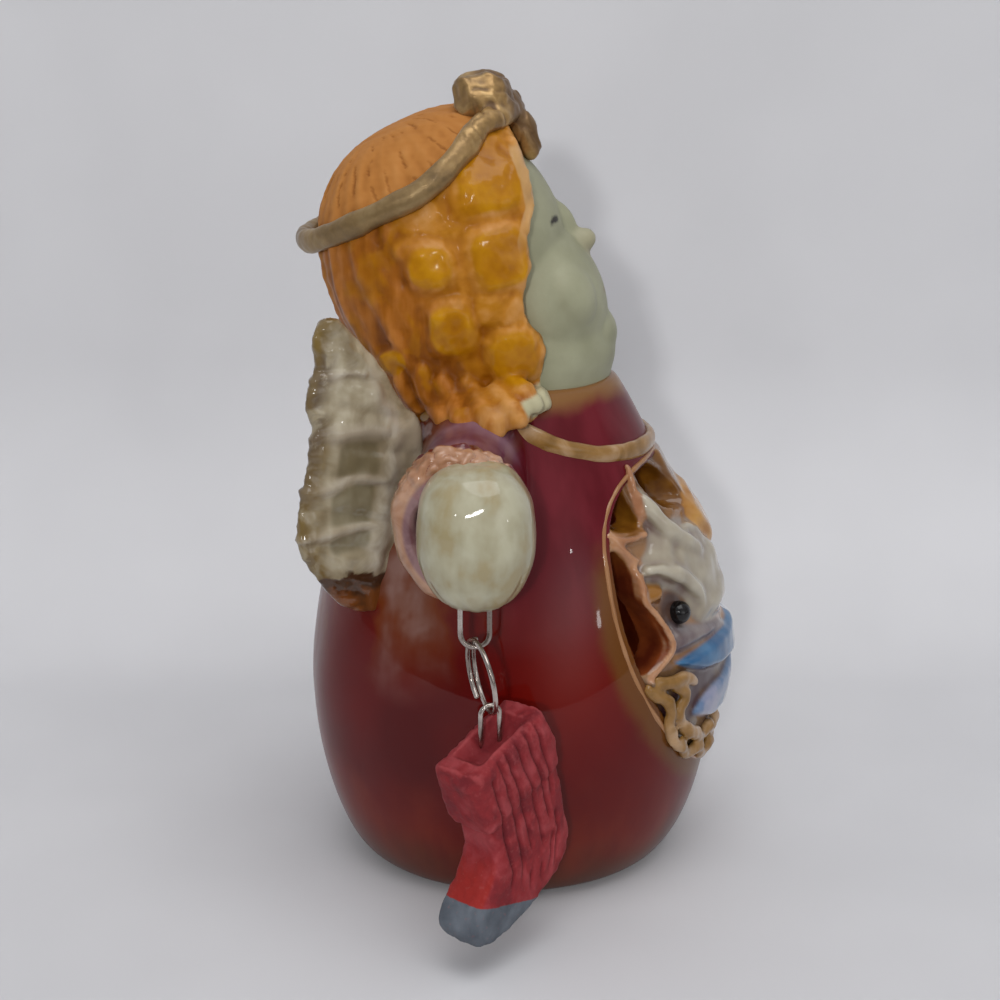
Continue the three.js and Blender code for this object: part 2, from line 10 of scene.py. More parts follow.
import bpy
import numpy as np
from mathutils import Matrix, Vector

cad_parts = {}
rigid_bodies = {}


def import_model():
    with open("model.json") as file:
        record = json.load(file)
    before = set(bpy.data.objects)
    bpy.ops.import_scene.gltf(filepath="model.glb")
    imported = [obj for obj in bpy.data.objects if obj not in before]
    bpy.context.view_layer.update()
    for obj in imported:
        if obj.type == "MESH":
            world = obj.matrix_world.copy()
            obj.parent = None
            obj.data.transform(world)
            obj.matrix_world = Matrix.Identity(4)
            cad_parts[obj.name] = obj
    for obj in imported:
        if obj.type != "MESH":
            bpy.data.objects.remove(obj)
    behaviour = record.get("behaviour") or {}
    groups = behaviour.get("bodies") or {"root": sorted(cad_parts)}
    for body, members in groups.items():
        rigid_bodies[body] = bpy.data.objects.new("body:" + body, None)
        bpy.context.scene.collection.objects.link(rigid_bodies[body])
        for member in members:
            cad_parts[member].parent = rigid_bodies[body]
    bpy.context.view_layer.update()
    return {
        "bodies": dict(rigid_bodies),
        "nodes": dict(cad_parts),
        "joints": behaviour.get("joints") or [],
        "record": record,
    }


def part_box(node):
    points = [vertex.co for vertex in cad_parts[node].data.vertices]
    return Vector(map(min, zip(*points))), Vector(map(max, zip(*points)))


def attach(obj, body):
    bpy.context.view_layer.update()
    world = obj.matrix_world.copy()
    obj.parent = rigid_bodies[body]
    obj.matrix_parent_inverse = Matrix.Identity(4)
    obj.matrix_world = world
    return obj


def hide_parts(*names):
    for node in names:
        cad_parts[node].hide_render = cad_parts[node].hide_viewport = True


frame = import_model()

MM = 0.001
TAU = 2 * math.pi

# The robe: a round foot up to the widest height, then a taper to the neck.
FOOT_RADIUS = 27
GIRTH_RADIUS = 39.8
GIRTH_Z = 36
FOOT_POWER = 1.75
TAPER = 0.548
TAPER_SPAN = 61
TAPER_POWER = 1.8
# The robe's upper edge, round the neck.
NECKLINE = 94.9
# The hollow for a tea light, with its hole in the foot.
WALL = 3.6
FLOOR = 4.5
CAVITY_TOP = 92
TEALIGHT_HOLE = 21

# The belly opening: degrees round the robe from the front towards the right side, and heights.
RIM_SPREAD = 61
RIM_Z = 62
RIM_UP = 19
RIM_DOWN = 43
RIM_TOP_POWER = 3.2
RIM_LOW_POWER = 2
# The carved plate's face and back, as distances out of the robe.
PLATE_FACE = -0.9
PLATE_BACK = -6.2
WINDOWS = [
    [(37, 80.8), (29, 80.6), (22, 79.4), (15.4, 77.6), (11.6, 75.6), (11, 72), (15, 70.4), (24, 71.4),
     (30.6, 73.6), (35.6, 77)],
    [(55, 75), (52, 77.4), (48, 78.6), (46, 76), (44.4, 73), (43.4, 70.6), (46.4, 70), (52, 70.2),
     (56.6, 71.4)],
    [(59.2, 65.6), (56.6, 67.2), (53.4, 65), (52, 61.8), (51.8, 58.6), (47.6, 54.4), (44.6, 50), (45, 47.8),
     (49.6, 45.2), (53.4, 44.8), (56.8, 47.6), (59, 52.4), (59.8, 58.2)],
]
# The collar's raised line: its height in front, and how far it climbs to the nape.
COLLAR_Z = 82.6
COLLAR_CLIMB = 6.2

# The head is built upright round its own centre, then tilted back.
HEAD_CENTRE = (0, 10, 118)
HEAD_TILT = -25
HAIR_CENTRE = (0, 0.3, -4)
HAIR_HALF = (22.3, 25.3, 30.6)
HAIR_POWER = 2.5
# The halo's ring in the head's frame: its height, how far back its middle is, and its half sizes.
HALO_U = 14.3
HALO_Y = 1.7
HALO_HALF = (21.2, 23.7)

# A sleeve from shoulder to cuff: its bell is (part of the cuff's radius, part of the length).
SLEEVE_BELL = [(0.1, -0.3), (0.92, -0.22), (0.86, 0.06), (0.8, 0.3), (0.84, 0.6), (0.88, 0.84), (0.8, 0.95)]
SHOULDER = (-19.7, 6.6, 80.8)
CUFF = (-42.4, 9.2, 76.2)
CUFF_RADIUS = 14.8
CUFF_SQUASH = 0.82
HAND_CENTRE = (-48.4, 6.6, 75.8)
HAND_HALF = (9.6, 9.9, 12.8)

# A wing's root, the degrees it sweeps back, and the heights of its foot and tip.
WING_ROOT = (-21.6, 20.6)
WING_SWEEP = 36
WING_FOOT = 55.7
WING_TIP = 110.3

# The wire's thickness, and the gap between two links.
WIRE = 1.1
CLEARANCE = 0.35
LOOP_BOTTOM = (-50.2, 6.8, 56.9)
LOOP_RADIUS = 2.5
LOOP_LEG = 9
RING_RADIUS = 6.5
RING_HANG = (-2.4, -2.6, -12.5)
RING_SPIN = 18
EYELET_RADIUS = 1.7
EYELET_LEG = 6

STOCKING_TOP = (-53.8, 4.1, 41.2)
STOCKING_TURN = -42
STOCKING_TILT = 22
STOCKING_THICK = 9.4

figure_low, figure_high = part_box("figure")
AXIS = np.array([(figure_low.x + figure_high.x) / 2, figure_high.y - GIRTH_RADIUS * MM, 0])


# Shapes of numbers: eased steps, soft noise, curves and turned frames.

def eased(low, high, x):
    """Rises smoothly from 0 at low to 1 at high: 3t^2 - 2t^3 of the clipped fraction t."""
    t = np.clip((x - low) / (high - low), 0, 1)
    return t * t * (3 - 2 * t)


def ripples(points, size, seed, octaves=2):
    """Soft noise from -1 to 1: a mean of sine waves of about the given length in random directions."""
    random = np.random.default_rng(seed)
    total = np.zeros(points.shape[:-1])
    weight = 0
    for octave in range(octaves):
        ways = random.normal(size=(7, 3))
        ways /= np.linalg.norm(ways, axis=1)[:, None]
        ways *= TAU / size * 2 ** octave * random.uniform(0.7, 1.3, (7, 1))
        starts = random.uniform(0, TAU, 7)
        total += np.sin(points @ ways.T + starts).mean(-1) * 0.55 ** octave
        weight += 0.55 ** octave
    return np.clip(total / weight * 2.2, -1, 1)


def curve(points, count, closed=False):
    """Evenly numbered points on a Catmull-Rom curve through the given ones."""
    p = np.asarray(points, float)
    if closed:
        p = np.concatenate([p[-1:], p, p[:2]])
        place = np.arange(count) / count * (len(p) - 3)
    else:
        p = np.concatenate([2 * p[:1] - p[1:2], p, 2 * p[-1:] - p[-2:-1]])
        place = np.linspace(0, len(p) - 3, count)
    i = np.minimum(place.astype(int), len(p) - 4)
    t = (place - i)[:, None]
    a, b, c, d = p[i], p[i + 1], p[i + 2], p[i + 3]
    square = 2 * a - 5 * b + 4 * c - d
    cube = 3 * b - a - 3 * c + d
    return 0.5 * (2 * b + (c - a) * t + square * t ** 2 + cube * t ** 3)


def unit(v):
    """Vectors divided by their lengths."""
    return v / np.maximum(np.linalg.norm(v, axis=-1, keepdims=True), 1e-9)


def tilted(points, centre, tilt):
    """Turned about the X line by degrees, then moved to a centre."""
    a = math.radians(tilt)
    p = np.asarray(points, float)
    y = p[..., 1] * math.cos(a) - p[..., 2] * math.sin(a)
    z = p[..., 1] * math.sin(a) + p[..., 2] * math.cos(a)
    return np.stack([p[..., 0], y, z], -1) + np.asarray(centre, float)


def on_head(points):
    """The figure's place of points in the upright head frame."""
    return tilted(points, HEAD_CENTRE, HEAD_TILT)


def in_head(points):
    """The upright head frame's place of points in the figure's frame."""
    return tilted(points - np.asarray(HEAD_CENTRE, float), (0, 0, 0), -HEAD_TILT)


def mirrored(forms):
    """The same closed forms on the other side, still facing out."""
    return [(p * (-1, 1, 1), [f[:, ::-1] for f in faces]) for p, faces in forms]


def both(forms):
    """The forms and their mirror images."""
    return forms + mirrored(forms)


# Closed surfaces. Each is (points, [arrays of faces]).

def skin(rings, closed=False):
    """A closed skin over rings of points: quads between neighbours, and a fan to the middle of each end
    ring. With closed, the last ring joins the first, as on a torus."""
    rows, cols = rings.shape[:2]
    i = np.arange(rows if closed else rows - 1)[:, None]
    j = np.arange(cols)[None, :]
    nexti, nextj = (i + 1) % rows, (j + 1) % cols
    quads = np.stack([i * cols + j, i * cols + nextj, nexti * cols + nextj, nexti * cols + j], -1)
    points = rings.reshape(-1, 3)
    faces = [quads.reshape(-1, 4)]
    if not closed:
        ends = np.stack([rings[0].mean(0), rings[-1].mean(0)])
        points = np.concatenate([points, ends])
        j = np.arange(cols)
        last = (rows - 1) * cols
        faces.append(np.stack([(j + 1) % cols, j, np.full(cols, rows * cols)], -1))
        faces.append(np.stack([last + j, last + (j + 1) % cols, np.full(cols, rows * cols + 1)], -1))
    return outward((points, faces))


def outward(form):
    """The same closed surface with its faces turned to point out: its signed volume is made positive."""
    points, faces = form
    volume = 0
    for f in faces:
        for k in range(1, f.shape[1] - 1):
            volume += np.einsum("ij,ij->", points[f[:, 0]], np.cross(points[f[:, k]], points[f[:, k + 1]]))
    return (points, [f[:, ::-1] for f in faces]) if volume < 0 else form


def globe(rings, sides, power=2):
    """Unit directions of a ball's grid, squared off by a power: |x|^p + |y|^p + |z|^p = 1."""
    up = np.linspace(-1, 1, rings) * (math.pi / 2 - 0.02)
    turn = np.arange(sides) / sides * TAU
    x = np.cos(up)[:, None] * np.cos(turn)
    y = np.cos(up)[:, None] * np.sin(turn)
    p = np.stack([x, y, np.broadcast_to(np.sin(up)[:, None], x.shape)], -1)
    return p / (np.abs(p) ** power).sum(-1, keepdims=True) ** (1 / power)


def ball(centre, half, rings=20, sides=28, power=2):
    """A closed ball round a centre, stretched to its half sizes and squared off by a power."""
    return skin(globe(rings, sides, power) * half + centre)


def turned(profile, sides):
    """A profile of (radius, height) turned round the upright axis."""
    profile = np.asarray(profile, float)
    a = np.arange(sides) / sides * TAU
    r, z = profile[:, :1], profile[:, 1:]
    return np.stack([r * np.sin(a), r * np.cos(a), z + 0 * a], -1)


def faceted(centre, half, seed, planes=30):
    """A ball cut by random flat faces: in each direction d the reach is the least of c / (n . d)."""
    random = np.random.default_rng(seed)
    normals = unit(random.normal(size=(planes, 3)))
    cuts = random.uniform(0.84, 1.0, planes)
    g = globe(60, 90)
    reach = np.min(cuts / np.maximum(g @ normals.T, 0.25), -1)
    return skin(g * np.minimum(reach, 1.12)[..., None] * half + centre)


# A direction that none of the free rods runs along, to start their rings from.
SKEW = np.array([0.31, 0.43, 0.85])


def rod(line, radius, sides=12, out=None, flat=1.0, closed=False):
    """A round bar along a line: each ring is radius * (cos t * side + flat * sin t * out). Its ends are
    domed: near them the radius falls as a quarter circle."""
    line = np.asarray(line, float)
    count = len(line)
    radius = np.broadcast_to(np.asarray(radius, float), (count,)).copy()
    if closed:
        way = unit(np.roll(line, -1, 0) - np.roll(line, 1, 0))
    else:
        way = unit(np.gradient(line, axis=0))
    if out is None:
        out = np.broadcast_to(SKEW, line.shape)
    side = unit(np.cross(way, out))
    up = np.cross(side, way)
    if not closed:
        step = np.linalg.norm(np.diff(line, axis=0), axis=1)
        travel = np.concatenate([[0], np.cumsum(step)])
        edge = np.minimum(travel, travel[-1] - travel) / np.maximum(radius, 1e-6)
        radius *= np.sqrt(np.clip(1 - (1 - np.clip(edge, 0.02, 1)) ** 2, 0, 1))
    t = np.arange(sides) / sides * TAU
    ring = np.cos(t)[None, :, None] * side[:, None] + flat * np.sin(t)[None, :, None] * up[:, None]
    return skin(line[:, None] + radius[:, None, None] * ring, closed)


# Meshes and what finishes them.

def mesh_object(name, forms):
    """One object from closed surfaces in millimetres, put in the row's frame in metres."""
    points = []
    faces = []
    start = 0
    for p, parts in forms:
        points.append(p)
        faces += [f + start for f in parts]
        start += len(p)
    points = np.concatenate(points) * MM + AXIS
    mesh = bpy.data.meshes.new(name)
    corners = np.concatenate([f.ravel() for f in faces])
    sizes = np.concatenate([np.full(len(f), f.shape[1]) for f in faces])
    mesh.vertices.add(len(points))
    mesh.vertices.foreach_set("co", points.ravel())
    mesh.loops.add(len(corners))
    mesh.loops.foreach_set("vertex_index", corners.astype(np.int32))
    mesh.polygons.add(len(sizes))
    mesh.polygons.foreach_set("loop_start", (np.cumsum(sizes) - sizes).astype(np.int32))
    mesh.polygons.foreach_set("use_smooth", np.ones(len(sizes), bool))
    mesh.update(calc_edges=True)
    mesh.validate()
    made = bpy.data.objects.new(name, mesh)
    bpy.context.scene.collection.objects.link(made)
    return made


def corners_of(piece):
    """A piece's corners in millimetres from the body's axis."""
    flat = np.zeros(len(piece.data.vertices) * 3)
    piece.data.vertices.foreach_get("co", flat)
    return (flat.reshape(-1, 3) - AXIS) / MM


def set_corners(piece, points):
    """Moves a piece's corners to places in millimetres from the body's axis."""
    piece.data.vertices.foreach_set("co", (points * MM + AXIS).ravel())
    piece.data.update()


def normals_of(piece):
    """The direction straight out of the surface at each corner."""
    flat = np.zeros(len(piece.data.vertices) * 3)
    piece.data.vertices.foreach_get("normal", flat)
    return flat.reshape(-1, 3)


def finished(piece, kind, **settings):
    """Applies one modifier to a piece, by taking the evaluated mesh as its own."""
    modifier = piece.modifiers.new(kind, kind)
    for key, value in settings.items():
        setattr(modifier, key, value)
    bpy.context.view_layer.update()
    graph = bpy.context.evaluated_depsgraph_get()
    mesh = bpy.data.meshes.new_from_object(piece.evaluated_get(graph))
    piece.modifiers.clear()
    old = piece.data
    piece.data = mesh
    bpy.data.meshes.remove(old)
    mesh.name = piece.name
    mesh.polygons.foreach_set("use_smooth", np.ones(len(mesh.polygons), bool))
    mesh.update()
    return piece


def cast(piece, voxel):
    """Fuses overlapping closed forms into one skin of small squares of the given size in millimetres."""
    return finished(piece, "REMESH", mode="VOXEL", voxel_size=voxel * MM, use_smooth_shade=True)


def cut(piece, forms):
    """Takes closed forms out of a piece."""
    tool = mesh_object("tool", forms)
    finished(piece, "BOOLEAN", operation="DIFFERENCE", solver="MANIFOLD", object=tool)
    bpy.data.objects.remove(tool)
    return piece


def joined(piece, other):
    """Adds another piece's closed surfaces to this one's mesh."""
    both_points = np.concatenate([corners_of(piece), corners_of(other)])
    start = len(piece.data.vertices)
    faces = [np.array(f.vertices) for f in piece.data.polygons]
    faces += [np.array(f.vertices) + start for f in other.data.polygons]
    sizes = np.array([len(f) for f in faces])
    merged = [np.stack([f for f, s in zip(faces, sizes) if s == n]) for n in np.unique(sizes)]
    made = mesh_object("joined", [(both_points, merged)])
    old = piece.data
    piece.data = made.data
    piece.data.name = piece.name
    bpy.data.objects.remove(made)
    bpy.data.objects.remove(other)
    bpy.data.meshes.remove(old)
    return piece


def edges_of(piece):
    """The numbers of the first corner of each edge, and of the second."""
    edges = np.zeros(len(piece.data.edges) * 2, np.int32)
    piece.data.edges.foreach_get("vertices", edges)
    return edges.reshape(-1, 2).T


def relaxed(piece, rounds, weight=1.0):
    """Softens a mesh: each round moves a corner part of the way to the mean of its neighbours, and a
    second, slightly larger step back keeps the volume."""
    a, b = edges_of(piece)
    points = corners_of(piece)
    n = len(points)
    valence = np.maximum(np.bincount(a, minlength=n) + np.bincount(b, minlength=n), 1)[:, None]
    weight = np.broadcast_to(np.asarray(weight, float), (n,))[:, None]
    for turn in range(2 * rounds):
        step = 0.6 if turn % 2 == 0 else -0.61
        total = [np.bincount(a, points[b, k], n) + np.bincount(b, points[a, k], n) for k in range(3)]
        mean = np.stack(total, -1) / valence
        points = points + step * weight * (mean - points)
    set_corners(piece, points)
    return piece


def spread(piece, values, rounds):
    """Blurs a value over a mesh's corners: each round is the mean of a corner and its neighbours."""
    a, b = edges_of(piece)
    n = len(values)
    valence = np.bincount(a, minlength=n) + np.bincount(b, minlength=n) + 1
    for _ in range(rounds):
        values = (values + np.bincount(a, values[b], n) + np.bincount(b, values[a], n)) / valence
    return values


def hollows(piece, rounds, size):
    """0 on ridges to 1 in hollows: how far a corner lies below the blurred surface, over a size in mm."""
    points = corners_of(piece)
    blurred = np.stack([spread(piece, points[:, k], rounds) for k in range(3)], -1)
    depth = ((blurred - points) * normals_of(piece)).sum(-1)
    return np.clip(0.5 + depth / size, 0, 1)


def masks(piece, **values):
    """Keeps numbers on a piece's corners as named attributes, for its material."""
    for name, value in values.items():
        layer = piece.data.attributes.new(name, "FLOAT", "POINT")
        layer.data.foreach_set("value", np.clip(value, 0, 1).astype(np.float32))


def dressed(piece, slot, material, *nodes):
    """Gives a piece its material and its body, and hides the imported nodes it stands for; the slot is not
    used.
    """
    piece.data.materials.clear()
    piece.data.materials.append(material)
    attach(piece, "root")
    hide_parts(*nodes)


# Materials: an expression on values adds its Math nodes.

class Value:
    """One output of a node in a finish."""

    def __init__(self, finish, socket):
        self.finish = finish
        self.socket = socket

    def math(self, operation, first, second):
        """One Math node on two values or numbers."""
        return self.finish.node("Math", {"operation": operation}, {0: first, 1: second})

    def __add__(self, other):
        return self.math("ADD", self, other)

    def __sub__(self, other):
        return self.math("SUBTRACT", self, other)

    def __rsub__(self, other):
        return self.math("SUBTRACT", other, self)

    def __mul__(self, other):
        return self.math("MULTIPLY", self, other)


    __radd__ = __add__
    __rmul__ = __mul__


class Finish:
    """One material, with the single method that adds a node to it."""

    def __init__(self, name, **shader):
        self.material = bpy.data.materials.new(name)
        self.material.use_nodes = True
        self.tree = self.material.node_tree
        self.shader = self.tree.nodes["Principled BSDF"]
        for socket, value in shader.items():
            self.shader.inputs[socket.replace("_", " ")].default_value = value
        self.place = self.node("TexCoord", {}, {}, "Object")

    def node(self, kind, settings, inputs, output=0):
        """Adds a node: its settings first, with a ramp's stops, then the values or links of its sockets."""
        made = self.tree.nodes.new("ShaderNode" + kind)
        for name, value in settings.items():
            if name == "stops":
                for element, (position, colour) in zip(self.stops(made, len(value)), value):
                    element.position = position
                    element.color = (*colour, 1) if len(colour) == 3 else colour
            else:
                setattr(made, name, value)
        for key, value in inputs.items():
            if isinstance(value, Value):
                self.tree.links.new(value.socket, made.inputs[key])
            else:
                made.inputs[key].default_value = value
        return Value(self, made.outputs[output])

    def stops(self, ramp, count):
        """A ramp's stops, made as many as asked for."""
        elements = ramp.color_ramp.elements
        while len(elements) < count:
            elements.new(1)
        return elements

    def noise(self, size, detail=3, distortion=0.0, place=None):
        """Noise from about 0.3 to 0.7, with blotches of a size in millimetres."""
        inputs = {"Vector": place or self.place, "Scale": 1 / (size * MM), "Detail": detail}
        return self.node("TexNoise", {}, {**inputs, "Distortion": distortion}, "Fac")

    def stretched(self, size, stretch, place=None):
        """Noise drawn out along an axis: the stretch is the scale along X, Y and Z."""
        moved = self.node("Mapping", {}, {"Vector": place or self.place, "Scale": stretch})
        return self.noise(size, place=moved)

    def attribute(self, name):
        """A number that masks() keeps on the piece's corners; 0 where the piece has none."""
        return self.node("Attribute", {"attribute_name": name}, {}, "Fac")

    def between(self, value, low, high):
        """0 below low to 1 above high, eased."""
        inputs = {"Value": value, "From Min": low, "From Max": high}
        return self.node("MapRange", {"interpolation_type": "SMOOTHSTEP"}, inputs)

    def ramp(self, value, stops):
        """The colour at a value between stops of (value, colour)."""
        return self.node("ValToRGB", {"stops": stops}, {"Fac": value})

    def mix(self, mask, first, second):
        """The first colour where the mask is 0 and the second where it is 1."""
        colours = [c if isinstance(c, Value) else (*c, 1) for c in (first, second)]
        inputs = {0: mask, 6: colours[0], 7: colours[1]}
        return self.node("Mix", {"data_type": "RGBA"}, inputs, 2)

    def mix_value(self, mask, first, second):
        """The first number where the mask is 0 and the second where it is 1."""
        return mask * (second - first) + first

    def height(self, axis):
        """The height or another coordinate of a place, in millimetres."""
        parts = self.node("SeparateXYZ", {}, {0: self.place}, "XYZ".index(axis))
        return parts * (1 / MM)

    def finish(self, colour, roughness=None, bump=None, distance=0.1, strength=1.0, coat=None, painted_bounce_light=None):
        """Links the surface's colour, and where given its roughness, relief in millimetres, coat and a
        painted glow that stands in for the faint light that other surfaces send into a hollow."""
        links = {"Base Color": colour, "Roughness": roughness, "Coat Weight": coat, "Emission Color": painted_bounce_light}
        if painted_bounce_light is not None:
            self.shader.inputs["Emission Strength"].default_value = 1
        if bump is not None:
            inputs = {"Height": bump, "Distance": distance * MM, "Strength": strength}
            links["Normal"] = self.node("Bump", {}, inputs)
        for name, value in links.items():
            if value is not None:
                self.tree.links.new(value.socket, self.shader.inputs[name])
        return self.material


def srgb(*levels):
    """Linear colour of a display colour given as three levels from 0 to 255."""
    return tuple(((v / 255 + 0.055) / 1.055) ** 2.4 for v in levels)


# A coloured body under a clear, smooth coat.
GLAZE = {"Roughness": 0.35, "IOR": 1.5, "Specular_IOR_Level": 0.12,
         "Coat_Weight": 1.0, "Coat_Roughness": 0.04, "Coat_IOR": 1.5}


# The robe.

def body_radius(z):
    """Above the girth R (1 - taper t^p), with t the way up. Below it, a quarter of a squared circle to
    the foot."""
    z = np.asarray(z, float)
    up = np.clip((z - GIRTH_Z) / TAPER_SPAN, 0, None)
    low = np.clip((GIRTH_Z - z) / GIRTH_Z, 0, 1)
    above = GIRTH_RADIUS * (1 - TAPER * up ** TAPER_POWER)
    below = FOOT_RADIUS + (GIRTH_RADIUS - FOOT_RADIUS) * np.sqrt(1 - low ** FOOT_POWER)
    return np.where(z >= GIRTH_Z, above, below)


def on_robe(degrees, z, out=0.0):
    """A place on the robe at degrees from the front, a height, and a distance out of the surface."""
    a = np.radians(degrees)
    r = body_radius(z) + out
    return np.stack([-r * np.sin(a), -r * np.cos(a), z + 0 * r], -1)


def unrolled(points):
    """Degrees from the front, height and distance out of the robe, of places in the figure's frame."""
    degrees = np.degrees(np.arctan2(-points[:, 0], -points[:, 1]))
    return degrees, points[:, 2], np.hypot(points[:, 0], points[:, 1]) - body_radius(points[:, 2])


def rim_point(angle, inset=1.0):
    """The belly opening's edge: a squared ellipse, flatter above than below, shrunk by inset."""
    across, rise = np.cos(angle), np.sin(angle)
    power = np.where(rise > 0, RIM_TOP_POWER, RIM_LOW_POWER)
    reach = np.where(rise > 0, RIM_UP, RIM_DOWN)
    degrees = RIM_SPREAD * np.sign(across) * np.abs(across) ** (2 / power)
    return degrees * inset, RIM_Z + reach * np.sign(rise) * np.abs(rise) ** (2 / power) * inset


# Millimetres from the opening's middle to its edge, on average.
RIM_REACH = 33


def rim_distance(degrees, z):
    """How far inside (negative) or outside the opening's edge a place is, in millimetres, about right near
    the edge."""
    rise = z - RIM_Z
    power = np.where(rise > 0, RIM_TOP_POWER, RIM_LOW_POWER)
    reach = np.where(rise > 0, RIM_UP, RIM_DOWN)
    level = (np.abs(degrees / RIM_SPREAD) ** power + np.abs(rise / reach) ** power) ** (1 / power)
    return (level - 1) * RIM_REACH


def slab(outline, outer, inner, rows=12, sides=120):
    """A curved plate on the robe: rings of the outline shrunk to its middle, over its face and back below."""
    middle = np.mean(outline, 0)
    line = curve(outline, sides, closed=True) if len(outline) < sides else np.asarray(outline, float)
    shrink = np.concatenate([np.linspace(0.03, 1, rows), np.linspace(1, 0.03, rows)])
    out = np.repeat([outer, inner], rows)[:, None]
    flat = middle + shrink[:, None, None] * (line - middle)
    return skin(on_robe(flat[..., 0], flat[..., 1], out + 0 * flat[..., 0]))


def opening(inset, sides=120):
    """The opening's outline as (degrees, height), shrunk by inset."""
    return np.stack(rim_point(np.arange(sides) / sides * TAU, inset), -1)


def laid(rings, start, end, squash):
    """A form turned round the upright axis, laid along a line and squashed sideways."""
    start, end = np.array(start, float), np.array(end, float)
    way = unit(end - start)
    side = unit(np.cross([0, 0, 1], way))
    rise = np.cross(way, side)
    return start + rings[..., :1] * squash * side + rings[..., 1:2] * rise + rings[..., 2:] * way


SLEEVE_LENGTH = float(np.linalg.norm(np.subtract(CUFF, SHOULDER)))


def sleeve_form(profile, sides=72, wobble=0.0, waves=9):
    """A sleeve's turned form from (part of the cuff's radius, part of the length), with a wavy radius."""
    profile = np.asarray(profile, float)
    rings = turned(profile * (CUFF_RADIUS, SLEEVE_LENGTH), sides)
    a = np.arange(sides) / sides * TAU
    wave = 1 + wobble * np.sin(waves * a + 1.2) * np.sin(2 * a + 0.4)
    rings[..., :2] *= wave[:, None]
    return skin(laid(rings, SHOULDER, CUFF, CUFF_SQUASH))


def robe():
    """The body of revolution with both sleeves, fused, softened where they meet, hollowed and opened in
    front."""
    count = 88
    rows = np.concatenate([[0, 0.25, 0.8, 1.6], np.linspace(2.6, NECKLINE - 0.9, count)])
    foot_edge = np.array([1.1, 0.45, 0.12, 0] + [0] * count)
    profile = np.stack([body_radius(rows) - foot_edge, rows], -1)
    brim = [(-0.35, -0.2), (-1, 0), (-1.8, -0.3), (-2, -1.4)]
    brim = np.add(brim, (float(body_radius(NECKLINE)), NECKLINE))
    profile = np.concatenate([[(1, 0)], profile, brim, [(1, NECKLINE - 1.4)]])
    bell = np.concatenate([curve(SLEEVE_BELL, 40), [(0.05, 0.95)]])
    piece = mesh_object("robe", [skin(turned(profile, 180))] + both([sleeve_form(bell)]))
    cast(piece, 0.6)
    points = corners_of(piece)
    degrees, z, out = unrolled(points)
    joint = eased(14, 3, np.abs(out - 3)) * eased(58, 64, z) * eased(93, 89, z)
    joint *= eased(14, 20, np.abs(points[:, 0]))
    relaxed(piece, 22, joint * 0.9)
    relaxed(piece, 3)
    points = corners_of(piece)
    swell = 0.2 * ripples(points, 30, 3, 1) * eased(1, 8, points[:, 2])
    points += normals_of(piece) * swell[:, None]
    set_corners(piece, points)
    mouth = [(0.5, -1), (TEALIGHT_HOLE, -1), (TEALIGHT_HOLE, FLOOR)]
    inner_wall = [(float(body_radius(z)) - WALL, z) for z in np.linspace(FLOOR, CAVITY_TOP, 24)]
    cut(piece, [skin(turned(mouth + inner_wall + [(0.5, CAVITY_TOP)], 96))])
    cut(piece, [slab(opening(0.97), 12, -12)])
    degrees, z, out = unrolled(corners_of(piece))
    edge = rim_distance(degrees, z)
    # The hollow's wall: its clay colour, and the painted glow that stands in for light in the hollow.
    masks(piece, inner=eased(-1.4, -2.2, out) * (edge > -30),
          rim=eased(5.5, 0, edge) * (np.abs(degrees) < 90))
    return piece


# The carved belly: two woolly animals side by side under a crest, with a scarf below.

# Outlines of the carving's right half, in degrees from the front and heights. The left half mirrors them.
LAMB = [(41, 76.2), (36.6, 76.4), (33, 73), (28, 70.2), (18, 69), (9, 67), (3, 62), (2.2, 55.5),
        (3.4, 50.4), (11, 48.8), (19.5, 48.9), (27, 50.4), (31, 55.4), (36, 57.8), (41.5, 58.8), (45.4, 60),
        (49.4, 61.4), (49.4, 63.8), (45.6, 65), (42, 66.8), (41, 69), (42.2, 71.6)]
JAW = [(40.6, 53), (34, 51.4), (20, 49.4), (10, 48), (7, 46), (20, 46.4), (30, 46.4), (39, 46.4), (41.4, 49)]
CREST = [(-6, 75.4), (5, 75.4), (9, 73.4), (13.2, 71.2), (13, 67.4), (9, 64), (5.4, 61.2), (1, 59.2), (-6, 59)]
SCARF = [(-4, 47.4), (6, 47), (16, 46.7), (27, 46.2), (37.6, 45.4), (39.4, 44.5), (30, 41.8), (19, 40.4),
         (8, 40), (-4, 40)]
SCARF_END = [(-2, 39.4), (7, 38.8), (14, 37.8), (24, 37), (30, 35.4), (31.6, 33), (22, 30.4), (9, 29.6),
             (-2, 29.4)]
PATCH = [(50.2, 60.6), (41.4, 59.8), (42.6, 57.2), (50.4, 57.4)]
# Folds of the fleece: a line of (degrees, height, distance out) and the radius along it.
FLEECE = [
    ([(40, 76, 0.2), (38, 72.6, 1.2), (33, 68.6, 1.8), (25, 65.4, 2.1), (17, 61, 2.2), (12.5, 55, 1.9)],
     (0.9, 1.5, 1.8, 1.7, 1.3, 0.7)),
    ([(48, 63, 0.6), (41, 62.6, 1.5), (33, 60.2, 2), (26, 56, 2), (23.4, 52, 1.5)], (0.8, 1.3, 1.5, 1.3, 0.8)),
    ([(31, 66.4, 1.4), (22, 67.4, 1.4), (13, 65.4, 1.4), (7, 60.6, 1.2)], (0.7, 1.2, 1.2, 0.7)),
]
